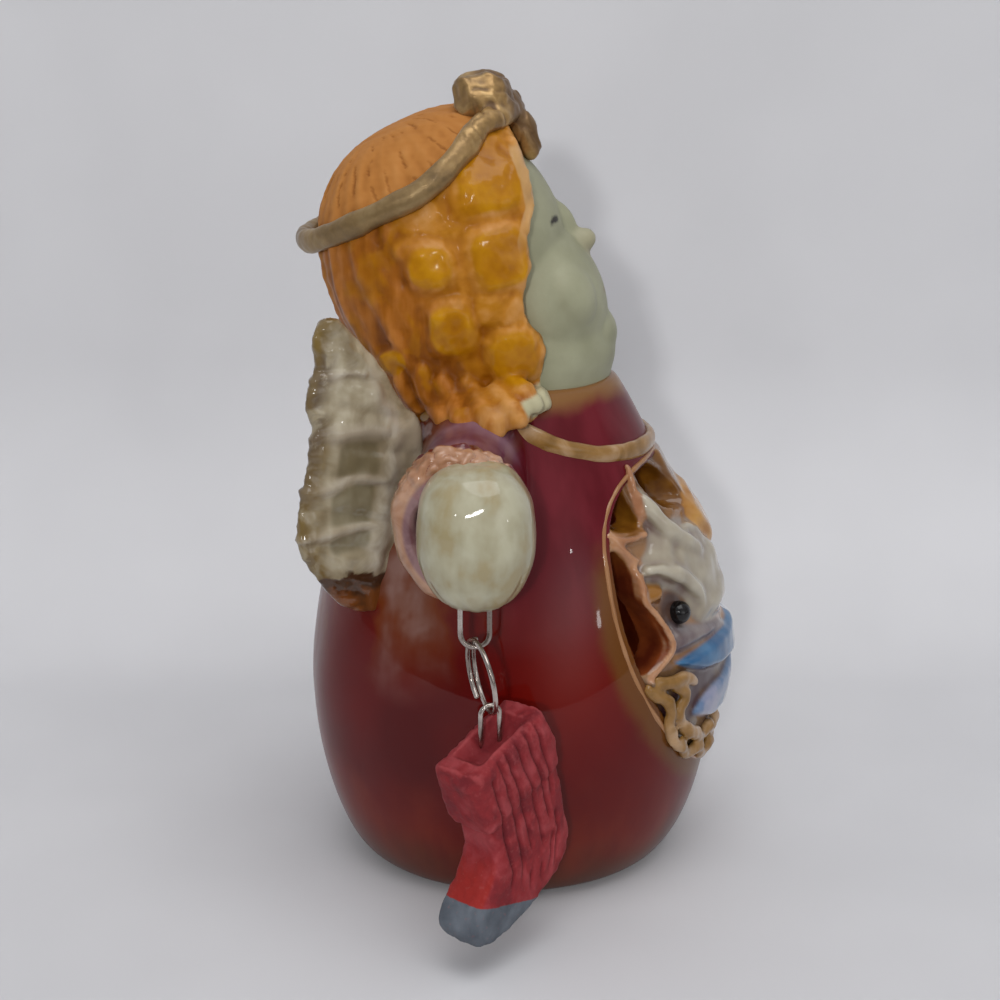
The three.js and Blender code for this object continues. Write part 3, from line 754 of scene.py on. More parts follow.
# Wavy ribbons along the foot of the carving, and the radius along each.
RIBBONS = [
    ([(49.4, 43.2, 0), (44.6, 42.2, 0.7), (38, 42, 1), (31.6, 39.6, 0.7)], (0.9, 1.3, 1.4, 0.8)),
    ([(43.6, 41.6, 0.6), (39.4, 40, 0.9), (38.1, 38.2, 0.9), (40.4, 36, 0.6), (38.6, 33.2, 0.4),
      (35, 30.8, 0.8), (29.6, 29, 0.7), (24.6, 27.2, 0.3), (19.4, 28, 0.7), (13, 25.2, 0.3),
      (7, 26.8, 0.8), (0, 25.2, 0.5)],
     (1, 1.3, 1.2, 1.4, 1.3, 1.5, 1.3, 1.2, 1.5, 1.2, 1.5, 1.4)),
    ([(52.4, 42.6, 0), (49, 40.4, 0.3), (45.4, 38.6, 0.9), (44.3, 36.4, 0.9), (44.4, 34, 0.4),
      (42.6, 31.6, 0.4), (42.2, 30, 0.9), (38.4, 28.4, 0.8), (33.6, 25.8, 0.3), (27.4, 25.8, 0.8),
      (21.6, 22.8, 0.3), (15.6, 24, 0.8), (9.4, 21.6, 0.3), (3.6, 22.6, 0.7), (0, 21.8, 0.6)],
     (1, 1.2, 1.4, 1.1, 1.2, 1.4, 1.1, 1.4, 1.2, 1.4, 1.2, 1.4, 1.2, 1.4, 1.4)),
]
# Small drops of clay: degrees, height, half width and how far out.
BEADS = [(43.6, 69, 1.2, 0.8), (38, 70.6, 0.8, 0.6), (24, 70.6, 1.6, 0.6), (50.6, 42.8, 0.9, 1.0)]
EYE = (35, 53.7, 0.3)
EYE_RADIUS = 2.2
# The tan edge of the carving beside the long window, and below it.
EDGE = [(50.8, 66.8, 0), (50.6, 63.4, 0.3), (49.6, 60.6, 0.7), (49.8, 57.8, 0.7), (46.4, 54.9, 0.9),
        (43, 50.8, 1.1), (42.4, 48.4, 1.0), (45.6, 46, 0.5), (50, 43.6, 0)]
EDGE_RADII = (0.5, 0.6, 0.8, 0.7, 0.8, 0.85, 0.7, 0.5)
# Thin bars between the windows, and the radius of each.
BARS = [
    ([(40.4, 81.4, 0), (40.8, 78.4, 0.2), (41.6, 75, 0.2), (42.4, 71.6, 0.1)], 0.65),
    ([(59.4, 70.4, 0), (54.6, 69.2, 0.3), (49, 68.8, 0.5), (44, 69.2, 0.3)], 0.6),
    ([(57.4, 69.4, 0), (53.4, 67.2, 0.4), (51, 65.4, 0.5), (47.6, 65, 0.2)], 0.6),
]


def lump(degrees, z, half_width, half_height, proud, turn, sunk=0.0):
    """A ball on the robe: its half sizes lie along the surface, turned by degrees, and out of it."""
    a, t = math.radians(degrees), math.radians(turn)
    out = np.array([-math.sin(a), -math.cos(a), 0])
    front = np.array([math.cos(a), -math.sin(a), 0])
    up = np.array([0, 0, 1.0])
    across = front * math.cos(t) + up * math.sin(t)
    rise = up * math.cos(t) - front * math.sin(t)
    g = globe(18, 26)
    place = on_robe(degrees, z, -sunk)
    return skin(place + g[..., :1] * half_width * across + g[..., 1:2] * half_height * rise
                + g[..., 2:] * (proud + sunk) * out)


def ridge(stops, radius, count=40, flat=1.0):
    """A rod along a line of (degrees, height, distance out) on the robe."""
    line = curve(stops, count)
    radii = np.interp(np.linspace(0, 1, count), np.linspace(0, 1, np.size(radius)), np.atleast_1d(radius))
    out = unit(on_robe(line[:, 0], line[:, 1]) * (1, 1, 0))
    return rod(on_robe(line[:, 0], line[:, 1], line[:, 2]), radii, 12, out, flat)


def inside(degrees, z, outline):
    """Millimetres that a place lies inside a closed outline on the robe, or outside it where negative: the
    least distance to its sides, with the sign of the crossing rule."""
    scale = math.radians(GIRTH_RADIUS - 2.5)
    corners = curve(outline, 5 * len(outline), closed=True) * (scale, 1)
    across = degrees * scale
    best = np.full(len(z), 99.0)
    odd = np.zeros(len(z), bool)
    for start, end in zip(corners, np.roll(corners, -1, 0)):
        way = end - start
        over, up = across - start[0], z - start[1]
        t = np.clip((over * way[0] + up * way[1]) / max(way @ way, 1e-9), 0, 1)
        best = np.minimum(best, np.hypot(over - t * way[0], up - t * way[1]))
        spans = (start[1] > z) != (end[1] > z)
        odd ^= spans & (across < start[0] + up * way[0] / (way[1] if way[1] else 1e-9))
    return np.where(odd, best, -best)


# How each outline of the carving rises: the level, and where its step starts and ends inside the outline.
LEVELS = [(LAMB, 2.5, -0.4, 4.6), (JAW, 1.9, -0.3, 2.2), (SCARF, 2.3, -0.3, 1.2), (SCARF_END, 1.5, -0.3, 1.0),
          (PATCH, 1.6, -0.3, 0.8)]


def carved(degrees, z):
    """The carving's height over its ground: each outline rises as an eased step to its own level, and the
    whole front swells a little."""
    side = np.abs(degrees)
    height = 2.7 * eased(-0.4, 2.8, inside(side, z, CREST)) * (0.45 + 0.55 * eased(59, 66, z))
    for outline, level, start, end in LEVELS:
        height = np.maximum(height, level * eased(start, end, inside(side, z, outline)))
    height = np.maximum(height, 1.7 * eased(14.5, 9.5, side) * eased(68, 72, z) * eased(83, 80.5, z))
    for outline in WINDOWS:
        height = np.maximum(height, 0.9 * np.exp(-((-inside(side, z, outline) - 0.5) / 0.6) ** 2))
    return height + 3 * np.exp(-(degrees / 26) ** 2) * eased(20, 36, z) * eased(80, 62, z)


def near_ridges(points, ridges, reach):
    """1 on the ridges' lines to 0 at a reach away from them, both sides alike."""
    folded = points.copy()
    folded[:, 0] = -np.abs(folded[:, 0])
    best = np.full(len(points), 99.0)
    for stops in ridges:
        for stop in curve(stops, 26):
            place = on_robe(stop[0], stop[1], stop[2])
            best = np.minimum(best, np.linalg.norm(folded - place, axis=1))
    return eased(reach, reach * 0.55, best)


def belly():
    """The carved plate in the opening: raised by its outlines, with folds and a frame, windows cut
    through."""
    piece = cast(mesh_object("belly", [slab(opening(1.0), PLATE_FACE, PLATE_BACK, 14)]), 0.45)
    points = corners_of(piece)
    degrees, z, out = unrolled(points)
    points += (eased(-2.4, -1.2, out) * carved(degrees, z))[:, None] * unit(points * (1, 1, 0))
    set_corners(piece, points)
    right = [ridge(stops, radius) for stops, radius in FLEECE + [(EDGE, EDGE_RADII)] + BARS]
    right += [lump(at, level, wide, 0.8 * wide, 1.6 * proud, 10, 0.6) for at, level, wide, proud in BEADS]
    joined(piece, mesh_object("folds", both(right)))
    cast(piece, 0.45)
    for outline in WINDOWS:
        window = [slab(outline, 12, -14, 5, 60)]
        cut(piece, window)
        cut(piece, mirrored(window))
    cut(piece, both([ball(on_robe(*EYE[:2], EYE[2] + 1.3), np.full(3, EYE_RADIUS + 0.5))]))
    cast(piece, 0.44)
    relaxed(piece, 5)
    points = corners_of(piece)
    degrees, z, out = unrolled(points)
    side = np.abs(degrees)
    lamb = inside(side, z, LAMB)
    woolly = eased(-0.3, 1.4, lamb)
    points += normals_of(piece) * ((0.1 + 0.2 * woolly) * ripples(points, 7.5, 12, 2))[:, None]
    set_corners(piece, points)
    facing = (normals_of(piece) * unit(points * (1, 1, 0))).sum(-1)
    hole = np.max([inside(side, z, outline) for outline in WINDOWS], 0)
    wall = eased(0.6, 0.2, facing) * eased(-1.3, -0.6, hole)
    bars = near_ridges(points, [EDGE] + [stops for stops, _ in BARS], 1.4)
    frame_edge = bars * eased(-1.7, -1.0, out) * (1 - wall)
    proud = eased(-1.9, -0.9, out)
    folds = near_ridges(points, [stops for stops, _ in FLEECE], 2)
    strip = eased(13, 10, side) * eased(73, 75, z)
    from_eye = np.hypot((side - EYE[0] - 2) * 0.62, z - EYE[1] - 0.6)
    masks(piece, frame=frame_edge, hollow=hollows(piece, 12, 1.5),
          wool=np.maximum(eased(-0.5, 0.5, lamb), folds) * proud * (1 - 0.9 * frame_edge),
          # The jaw under each head, painted mauve-grey as shade.
          jaw=eased(-0.4, 0.6, inside(side, z, JAW)) * proud,
          crest=eased(-0.2, 0.5, inside(side, z, CREST)) * eased(-0.6, 0.3, out),
          scarf=eased(-0.1, 0.4, inside(side, z, SCARF)) * proud,
          pale=eased(-0.1, 0.5, inside(side, z, SCARF_END)) * proud,
          patch=eased(-0.2, 0.5, inside(side, z, PATCH)) * proud,
          # The raised carving low down, painted darker as shade.
          low=eased(46, 42, z) * proud,
          # The windows' walls and the plate's back, painted amber to deep brown as shade in the hollow, and a
          # strip at the top middle.
          well=np.maximum.reduce([eased(-1.2, -2, out), wall, 0.7 * strip]),
          # Painted shade round each eye, in its socket.
          socket=eased(4.6, 2.4, from_eye) * proud)
    return piece


def eyes():
    """A glossy ball sunk in each animal's socket."""
    place = on_robe(*EYE[:2], EYE[2] - 0.2)
    return mesh_object("eyes", both([ball(place, np.full(3, EYE_RADIUS), 24, 32)]))


def ruffle():
    """Wavy ribbons along the foot of the opening: rods that fold up, down, in and out."""
    ribbons = [ridge(stops, radius, 160, 0.8) for stops, radius in RIBBONS]
    piece = cast(mesh_object("ruffle", both(ribbons)), 0.4)
    relaxed(piece, 8)
    points = corners_of(piece)
    set_corners(piece, points + normals_of(piece) * (0.2 * ripples(points, 3.6, 8))[:, None])
    masks(piece, hollow=hollows(piece, 10, 1.2))
    return piece


def rim():
    """A low bead along the opening's edge, and the raised line of the collar that climbs to the nape."""
    angle = np.arange(300) / 300 * TAU
    degrees, z = rim_point(angle)
    line = on_robe(degrees, z, -0.25)
    thick = 0.52 + 0.08 * np.sin(3 * angle + 1) + 0.06 * np.sin(7 * angle)
    bead = rod(line, thick, 14, unit(line * (1, 1, 0)), 1.05, closed=True)
    turn = np.arange(260) / 260 * 360 - 180
    climb = np.minimum(1.3, (np.abs(turn) / 87) ** 3.5)
    level = COLLAR_Z + COLLAR_CLIMB * (climb - 0.12 * eased(0.9, 1.3, climb))
    line = on_robe(turn, level, -0.15)
    thick = 1.75 + 0.15 * np.sin(np.radians(5 * turn))
    collar = rod(line, thick, 16, unit(line * (1, 1, 0)), 0.6, closed=True)
    piece = mesh_object("rim", [bead, collar])
    points = corners_of(piece)
    set_corners(piece, points + normals_of(piece) * (0.15 * ripples(points, 7, 5))[:, None])
    masks(piece, pink=np.arange(len(points)) < len(bead[0]))
    return piece


# The head.

def face():
    """Skull, jaw, cheeks, chin, nose, lips and neck as balls in the upright head frame, fused and softened."""
    balls = [
        ((0, -2.5, 1), (19.2, 17.8, 23)), ((0, -8.6, -14), (17, 13.6, 16.8)),
        ((0, -13.6, -24), (9, 7.4, 6.6)), ((0, -11, -26.5), (12.5, 8.6, 7)),
        ((0, -21.3, -7.8), (2.5, 3, 2.4)), ((0, -19.6, -3.6), (2.2, 2.4, 5)),
        ((9, -14, -14.5), (7, 6.2, 7.8)), ((-9, -14, -14.5), (7, 6.2, 7.8)),
        ((0, -20.6, -16.4), (3.4, 1.5, 1)), ((0, -20.2, -18.6), (2.8, 1.4, 1)),
    ]
    forms = [ball(np.array(centre, float), half, 36, 48) for centre, half in balls]
    forms = [(on_head(points), faces) for points, faces in forms]
    neck = turned([(1, 92.3), (17, 92.4), (17, 95), (17.7, 98), (17.6, 101), (16, 106), (1, 107)], 60)
    forms.append(skin(neck + (0, -1.6, 0)))
    piece = cast(mesh_object("face", forms), 0.55)
    relaxed(piece, 16)
    points = corners_of(piece)
    set_corners(piece, points + normals_of(piece) * (0.1 * ripples(points, 14, 21))[:, None])
    upright = in_head(corners_of(piece))
    x, y, u = np.abs(upright[:, 0]), upright[:, 1], upright[:, 2]
    lid = np.hypot((x - 7.6) / 1.9, (u + 1.2 + 0.05 * (x - 7.6) ** 2) / 0.62)
    mouth = np.hypot(x / 3.2, (u + 17.6) / 0.55)
    front = eased(-8, -12, y)
    masks(piece, eye=eased(1.25, 0.8, lid) * front, lips=eased(1.8, 0.8, mouth) * front,
          nose=eased(4.5, 1.5, np.linalg.norm(upright - (0, -22, -8.4), axis=1)))
    return piece


# Pads of hair over a temple and cheek: distance back from the middle and height in the upright head frame,
# half sizes, squareness of the outline, turn in degrees and how far out they stand.
PADS = [
    (-11.2, 10.8, 6.4, 5.6, 4, 18, 1.2), (-7.4, -1.8, 5.3, 5.8, 4, 14, 1.4),
    (5.6, -9.6, 4.6, 5.2, 2.6, 15, 1.7), (-2.2, -18.8, 4.7, 5.4, 3, 14, 2),
    (4.4, 2.2, 4.4, 4.4, 2.4, 20, 1.2), (18.4, -11, 2.9, 2.7, 2.2, 0, 1.4),
    (-3.2, -9.8, 4.4, 3, 4, 22, 0.8), (7.4, 6.8, 2.4, 1.7, 2, -20, 0.5),
    (-8.4, -20.6, 2.2, 4, 2.2, 0, 1.2),
]
# How much of the deep honey glaze each pad has.
PAD_HONEY = [1, 1, 0.9, 0.9, 0.85, 0.8, 0.0, 0.3, 0.25]
# The front edge of the hair: heights, and the distance back of the edge there.
FRONT_U = [-36, -31, -25.9, -21, -18, -14.9, -12, -8.9, -4, -0.5, 1.6, 4.4, 8.7, 13, 20, 26]
FRONT_Y = [-1, -2, -4.1, -7.5, -7.9, -6.9, -6.9, -8.9, -12.2, -13.2, -14.6, -17, -17.9, -18.4, -18.2, -16]
# Locks over the shoulder: lines of (distance back, height), and the radius along each.
LOCKS = [
    ([(20.6, -10), (21.6, -13), (21.8, -16), (21, -19)], (0.9, 1.6, 1.7, 1.0)),
    ([(17.4, -12), (18.4, -15), (18.2, -18.4), (17.6, -22)], (1.1, 1.9, 2.2, 1.4)),
    ([(13, -13), (14.6, -16), (14.6, -19), (14, -22.4), (13.6, -24.6)], (1.2, 2.1, 2.5, 2.6, 1.8)),
    ([(10.8, -16), (11.4, -18.6), (10.8, -22), (10.2, -25), (9.8, -27)], (1.2, 2.2, 2.8, 3.0, 2.1)),
    ([(7.6, -18), (7.8, -21), (6.8, -24.4), (5.6, -27.8), (5, -29.8)], (1.2, 2.2, 2.8, 3.0, 2.0)),
    ([(4, -21.6), (3.4, -24), (1.8, -27.2), (0.6, -30)], (1.4, 2.4, 2.9, 1.8)),
    ([(14.4, -20.2), (10.6, -23.4), (6, -26.4), (1.4, -28.6)], (0.9, 2.0, 2.4, 1.4)),
    ([(1, -21.4), (-1, -25.4), (-3, -28.8)], (1.8, 2.6, 1.5)),
]
# A pale square tip of hair in front: distance back, height and half size.
CUBE = (-2.7, -28.1, 2.1)


def hair_surface(directions):
    """The hair's rounded block: a direction scaled to |x|^p + |y|^p + |z|^p = 1, then by its half sizes."""
    d = directions / (np.abs(directions) ** HAIR_POWER).sum(-1, keepdims=True) ** (1 / HAIR_POWER)
    return d * HAIR_HALF + HAIR_CENTRE


def hair_side(y, u):
    """The half width of the hair at a distance back and a height: x from |x|^p = 1 - |y|^p - |u|^p."""
    b = np.abs((y - HAIR_CENTRE[1]) / HAIR_HALF[1]) ** HAIR_POWER
    c = np.abs((u - HAIR_CENTRE[2]) / HAIR_HALF[2]) ** HAIR_POWER
    return HAIR_HALF[0] * np.clip(1 - b - c, 0.02, 1) ** (1 / HAIR_POWER)


def on_shoulder(points, out):
    """How far to the side a place of the head frame must be to lie a distance out of the robe."""
    worn = on_head(points)
    return np.sqrt(np.clip((body_radius(worn[..., 2]) + out) ** 2 - worn[..., 1] ** 2, 1, None))


def pad_level(y, u, pad):
    """How far out of a pad's middle a place is: 1 on its squared outline."""
    back, rise, half_back, half_up, power, turn, _ = pad
    t = math.radians(turn)
    across = (y - back) * math.cos(t) + (u - rise) * math.sin(t)
    along = (u - rise) * math.cos(t) - (y - back) * math.sin(t)
    return (np.abs(across / half_back) ** power + np.abs(along / half_up) ** power) ** (1 / power)


def pads_relief(y, u):
    """Pads stand out as low flat domes with a soft step at the outline, and a shallow groove runs round
    each."""
    raised = np.zeros(np.shape(y))
    groove = np.zeros(np.shape(y))
    for pad in PADS:
        level = pad_level(y, u, pad)
        raised = np.maximum(raised, pad[-1] * eased(1.24, 0.66, level) * (1 - 0.2 * level ** 2))
        groove = np.maximum(groove, 0.25 * np.exp(-((level - 1.24) / 0.14) ** 2))
    return raised - groove * eased(0.5, 0.1, raised)


def strands(turn, u):
    """Combed hair as sums of waves round the head that drift with the height."""
    drift = 1.1 * np.sin(0.14 * u + 2.3 * turn) + 0.4 * np.sin(0.37 * u + 5 * turn)
    return 0.6 * np.sin(17 * turn + drift) + 0.4 * np.sin(39 * turn + 1.7 * drift + 1)


def band_rise(y):
    """How far the band climbs towards the bow: a power of the way from behind the ears to the front."""
    return 5.6 * np.clip((3 - y) / 17, 0, 1.05) ** 1.7


def lock(stops, radii):
    """A strand down the side: a rod through (distance back, height) places, on the hair or on the shoulder,
    whichever is further out."""
    count = 44
    y, u = curve(stops, count).T
    points = np.stack([-hair_side(y, u) - 0.4, y, u], -1)
    proud = 1.5 + 4.6 * eased(-20, -28, u)
    points[:, 0] = -np.maximum(-points[:, 0], on_shoulder(points, proud) * eased(-14, -20, u))
    points[:, 0] = np.convolve(np.pad(points[:, 0], 4, "edge"), np.full(9, 1 / 9), "valid")
    return rod(points, np.interp(np.linspace(0, 1, count), np.linspace(0, 1, len(radii)), radii), 12)


def hair():
    """A cap with combed strands, pads on both sides and locks over the shoulders, fused and softened."""
    g = globe(240, 420)
    turn = np.arctan2(g[..., 0], g[..., 1])
    p = hair_surface(g)
    outward_way = unit(g * (1, 1, 0.25))
    crown = eased(HALO_U - 3, HALO_U + 3, p[..., 2])
    combed = 0.42 * strands(turn, p[..., 2]) * eased(0, 9, p[..., 1])
    fine = 0.16 * np.sin(42 * turn + 1.6 * np.sin(5 * turn)) + 0.14 * np.sin(19 * turn + 2)
    side = eased(7, 13, np.abs(p[..., 0]))
    below = combed + side * pads_relief(p[..., 1], p[..., 2])
    p = p + outward_way * (crown * fine * np.hypot(g[..., 0], g[..., 1]) + (1 - crown) * below)[..., None]
    front = np.interp(p[..., 2], FRONT_U, FRONT_Y)
    p[..., 1] = np.maximum(p[..., 1], front)
    forms = [skin(p)]
    u = np.linspace(-24, 16, 90)
    y = np.interp(u, FRONT_U, FRONT_Y) + 0.6
    thick = 0.75 + 0.2 * np.sin(0.9 * u) + 0.15 * np.sin(2.1 * u)
    right = [rod(np.stack([-hair_side(y, u) + 0.7, y, u], -1), thick, 12)]
    right += [lock(*numbers) for numbers in LOCKS]
    back, rise, half = CUBE
    cube_x = -float(on_shoulder(np.array([-10.0, back, rise]), 0.5))
    right.append(ball((cube_x, back, rise), (half + 0.8, half, half), power=4))
    right.append(ball((cube_x - 0.4, back + 3.8, rise - 1.8), (2, 2.6, 2), power=2.6))
    for x, y in ((-18.6, 15.4), (-14.6, 19.4), (-9.6, 21.8), (-4.2, 23)):
        line = curve([(x * 0.94, y - 1, 4), (x, y, -8), (x * 0.97, y - 0.4, -20), (x * 0.9, y - 2, -29)], 40)
        right.append(rod(line, 1.9 + 0.3 * np.sin(np.linspace(0, 9, 40) + x), 10))
    forms = [(on_head(points), faces) for points, faces in forms + both(right)]
    piece = cast(mesh_object("hair", forms), 0.5)
    relaxed(piece, 5)
    relaxed(piece, 8, eased(-15, -21, in_head(corners_of(piece))[:, 2]))
    points = corners_of(piece)
    upright = in_head(points)
    x, y, u = np.abs(upright[:, 0]), upright[:, 1], upright[:, 2]
    capped = eased(HALO_U - 0.5, HALO_U + 1.5, u - band_rise(y))
    turn = np.arctan2(upright[:, 0], y - 2)
    crack = eased(0.88, 0.99, np.cos(31 * turn + 1.6 * ripples(points, 9, 34)))
    crack *= eased(0.0, 0.4, ripples(points, 7, 35)) * capped * eased(4, 9, np.hypot(x, y - 2))
    lumpy = (1 - capped) * 0.14 * ripples(points, 7, 36)
    points += normals_of(piece) * (0.12 * ripples(points, 3.4, 31) + lumpy - 0.22 * crack)[:, None]
    set_corners(piece, points)
    honey = np.zeros(len(x))
    for pad, share in zip(PADS, PAD_HONEY):
        honey = np.maximum(honey, share * eased(1.16, 0.66, pad_level(y, u, pad)))
    honey *= eased(6, 12, x) * (1 - capped)
    cream = eased(1.25, 0.95, np.maximum(np.abs(y - back), np.abs(u - rise)) / half) * eased(8, 12, x)
    past = y - np.interp(u, FRONT_U, FRONT_Y)
    masks(piece, crown=capped, honey=honey, hollow=hollows(piece, 12, 1.7), crack=crack, cream=cream,
          strand=eased(2, 10, y) * (1 - capped), hem=eased(2.4, 1.2, past) * eased(17, 13, u),
          tips=eased(-22, -26, u))
    return piece


def halo():
    """A flattened band that climbs to the front, and a bow: two crumpled pads, a knot and a hanging end."""
    turn = np.arange(420) / 420 * TAU
    line = np.stack([HALO_HALF[0] * np.sin(turn), HALO_Y + HALO_HALF[1] * np.cos(turn), HALO_U + 0 * turn], -1)
    rise = band_rise(line[:, 1])
    line[:, :2] *= (1 - 0.012 * rise)[:, None]
    line[:, 2] += rise + 0.2 * np.sin(3 * turn + 0.6)
    out = unit(line * (1, 1, 0.1))
    thick = 2.25 * (1 + 0.04 * np.sin(11 * turn) + 0.03 * np.sin(17 * turn + 1))
    forms = [rod(line, thick, 22, out, 0.72, closed=True)]
    forms += both([faceted(np.array([-6.6, -15.8, 23.6]), np.array([4.4, 5.6, 5.6]), 5)])
    for centre, half, seed in (((0, -16.8, 22.2), (6, 4.4, 5), 8), ((-1.6, -19, 20.4), (4.6, 3, 4.4), 9)):
        forms.append(faceted(np.array(centre), np.array(half), seed))
    tail = curve([(-2.2, -18.4, 21.4), (-2.8, -20.2, 17.6), (-2.6, -20.3, 13.4), (-2.2, -19.2, 9.8)], 40)
    forms.append(rod(tail, np.interp(np.linspace(0, 1, 40), [0, 0.5, 1], [2, 2.4, 1.7]), 16))
    forms.append(rod(tail * (-1, 1, 1) + (0.4, 0, 1.2), 1.9, 16))
    forms = [(on_head(points), faces) for points, faces in forms]
    piece = cast(mesh_object("halo", forms), 0.38)
    points = corners_of(piece)
    front = eased(-9, -12, in_head(points)[:, 1])
    crumple = 0.25 * ripples(points, 5, 43) - 0.25 * eased(0.2, 0.02, np.abs(ripples(points, 9, 44)))
    points += normals_of(piece) * (front * crumple + (1 - front) * 0.1 * ripples(points, 5, 45))[:, None]
    set_corners(piece, points)
    relaxed(piece, 1)
    upright = in_head(corners_of(piece))
    x, y, u = np.abs(upright[:, 0]), upright[:, 1], upright[:, 2]
    knot = eased(-17.5, -19.5, y - 0.25 * (u - 20)) * eased(9, 7, x)
    masks(piece, hollow=hollows(piece, 8, 0.9), knot=knot)
    return piece


# Wings, hands and cuffs.

# A wing's outer and inner edge as (distance from the root along the blade, height), and its ribs' heights.
WING_TRAILING = [(8, 55.6), (12.3, 56.9), (15.4, 59.8), (18.2, 63.3), (20.7, 67.1), (21.8, 70.5),
                 (21.9, 74.2), (21.4, 77.7), (20, 82.1), (18.8, 87.3), (18.3, 91.2), (19.4, 94.3),
                 (19.3, 96.7), (17.8, 100.6), (17.5, 103.3), (18, 106.8), (16.7, 109.5), (14.7, 110.5)]
WING_LEADING = [(5.5, 55.6), (-2, 68), (-4, 77), (-4, 88), (0.4, 95), (5, 102), (13, 110.4)]
WING_RIBS = [61.5, 67.5, 73.5, 80, 86.5, 93, 99, 105]
# Pale veins between the outer edge and the spine: height and half width.
WING_VEINS = [(71.4, 0.9), (80, 1.0), (89, 1.4), (99.6, 0.7)]


def wing():
    """A blade between two edge lines. Its half thickness falls to the edges as a rounded lens and swells in a
    beaded outer edge, a ridge near the front and ribs between the feathers."""
    rows, sides = 150, 90
    trailing = curve(WING_TRAILING, rows * 3)
    leading = curve(WING_LEADING, rows * 3)
    level = np.linspace(WING_FOOT, WING_TIP, rows)
    back = np.interp(level, trailing[:, 1], trailing[:, 0])
    front = np.interp(level, leading[:, 1], leading[:, 0])
    a = np.arange(sides) / sides * TAU
    across = np.cos(a)
    middle, half = (back + front) / 2, (back - front) / 2
    x = middle[:, None] + half[:, None] * across
    lens = np.sign(np.sin(a)) * np.abs(np.sin(a)) ** 0.8
    slope = level[:, None] - 0.28 * (x - 8)
    rib = sum(np.exp(-((slope - height) / 1.1) ** 2) for height in WING_RIBS)
    bead = eased(4.5, 1.2, back[:, None] - x) * (0.5 + 0.5 * np.cos(TAU * level[:, None] / 3.6))
    spine = np.exp(-((x - middle[:, None] + 0.25 * half[:, None]) / 2.2) ** 2)
    slim = 1 - 0.45 * np.abs(2 * (level - WING_FOOT) / (WING_TIP - WING_FOOT) - 1)[:, None] ** 4
    y = (2.25 - 0.5 * rib + 0.35 * bead + 0.5 * spine) * slim * lens
    turn = math.radians(90 + WING_SWEEP)
    c, s = math.cos(turn), math.sin(turn)
    return skin(np.stack([c * x - s * y + WING_ROOT[0], s * x + c * y + WING_ROOT[1],
                          level[:, None] + 0 * x], -1))


def wings():
    """Both blades fused, with raised veins, sunk cells between them and an uneven edge."""
    piece = cast(mesh_object("wings", both([wing()])), 0.5)
    relaxed(piece, 1)
    points = corners_of(piece)
    along = np.hypot(np.abs(points[:, 0]) + WING_ROOT[0], points[:, 1] - WING_ROOT[1])
    z = points[:, 2]
    trailing, leading = curve(WING_TRAILING, 300), curve(WING_LEADING, 300)
    back = np.interp(z, trailing[:, 1], trailing[:, 0])
    front = np.interp(z, leading[:, 1], leading[:, 0])
    part = np.clip((back - along) / np.maximum(back - front, 1), 0, 1)
    edge = eased(4.2, 1.0, back - along)
    spine = np.exp(-((part - 0.66 - 0.004 * (z - 80)) / 0.085) ** 2) * eased(60, 66, z) * eased(104, 96, z)
    veins = np.zeros(len(z))
    for level, wide in WING_VEINS:
        arch = level + 6 * part * (0.7 - part) + 0.5 * ripples(points, 9, 53)
        veins = np.maximum(veins, np.exp(-((z - arch) / wide) ** 2) * eased(0.72, 0.6, part))
    veins = np.maximum(veins, spine)
    outer = eased(0.14, 0.28, part) * eased(0.6, 0.5, part) * eased(66, 70, z) * eased(92, 86, z)
    inner = 0.8 * eased(0.74, 0.82, part) * eased(72, 80, z) * eased(96, 88, z)
    cells = (1 - veins) * np.maximum(outer, inner)
    rough = 0.22 * ripples(points, 8, 51) + 0.16 * edge * ripples(points, 2.4, 52)
    points += normals_of(piece) * (rough + 0.5 * veins - 0.25 * cells)[:, None]
    set_corners(piece, points)
    masks(piece, edge=edge, foot=eased(68, 58, z), veins=veins, cells=cells)
    return piece


def cuffs():
    """A thick roll at the end of each sleeve, crinkled above, with a recess round the hand."""
    lip = curve([(0.05, 0.8), (0.8, 0.82), (0.92, 0.86), (1.0, 0.93), (1.01, 1.0), (0.97, 1.08),
                 (0.88, 1.13), (0.78, 1.15), (0.68, 1.15), (0.61, 1.1), (0.58, 0.98)], 70)
    form = sleeve_form(np.concatenate([[(0.02, 0.8)], lip, [(0.02, 0.9)]]), 240, 0.015, 7)
    piece = mesh_object("cuffs", both([form]))
    points = corners_of(piece)
    way = unit(np.subtract(CUFF, SHOULDER))
    side = unit(np.cross([0, 0, 1], way))
    folded = np.stack([-np.abs(points[:, 0]), points[:, 1], points[:, 2]], -1) - SHOULDER
    t = folded @ way / SLEEVE_LENGTH
    across, rise = folded @ side / CUFF_SQUASH, folded @ np.cross(way, side)
    radius = np.hypot(across, rise) / CUFF_RADIUS
    rolled = eased(0.86, 0.96, t) * eased(0.5, 0.56, radius)
    crinkle = 0.2 * ripples(points, 7, 61) + eased(3, 11, rise) * (1.1 * np.abs(ripples(points, 5, 62)) - 0.4)
    points += normals_of(piece) * (crinkle * rolled)[:, None]
    set_corners(piece, points)
    masks(piece, lip=rolled * eased(1.03, 0.995, radius + 0.25 * (0.98 - t)),
          # The lip's inner side and the cuff's inside round the hand, painted mauve as shade.
          mauve=eased(0.84, 0.77, radius) * rolled,
          recess=eased(0.6, 0.56, radius) * eased(0.8, 0.9, t), hollow=hollows(piece, 8, 0.9))
    return piece


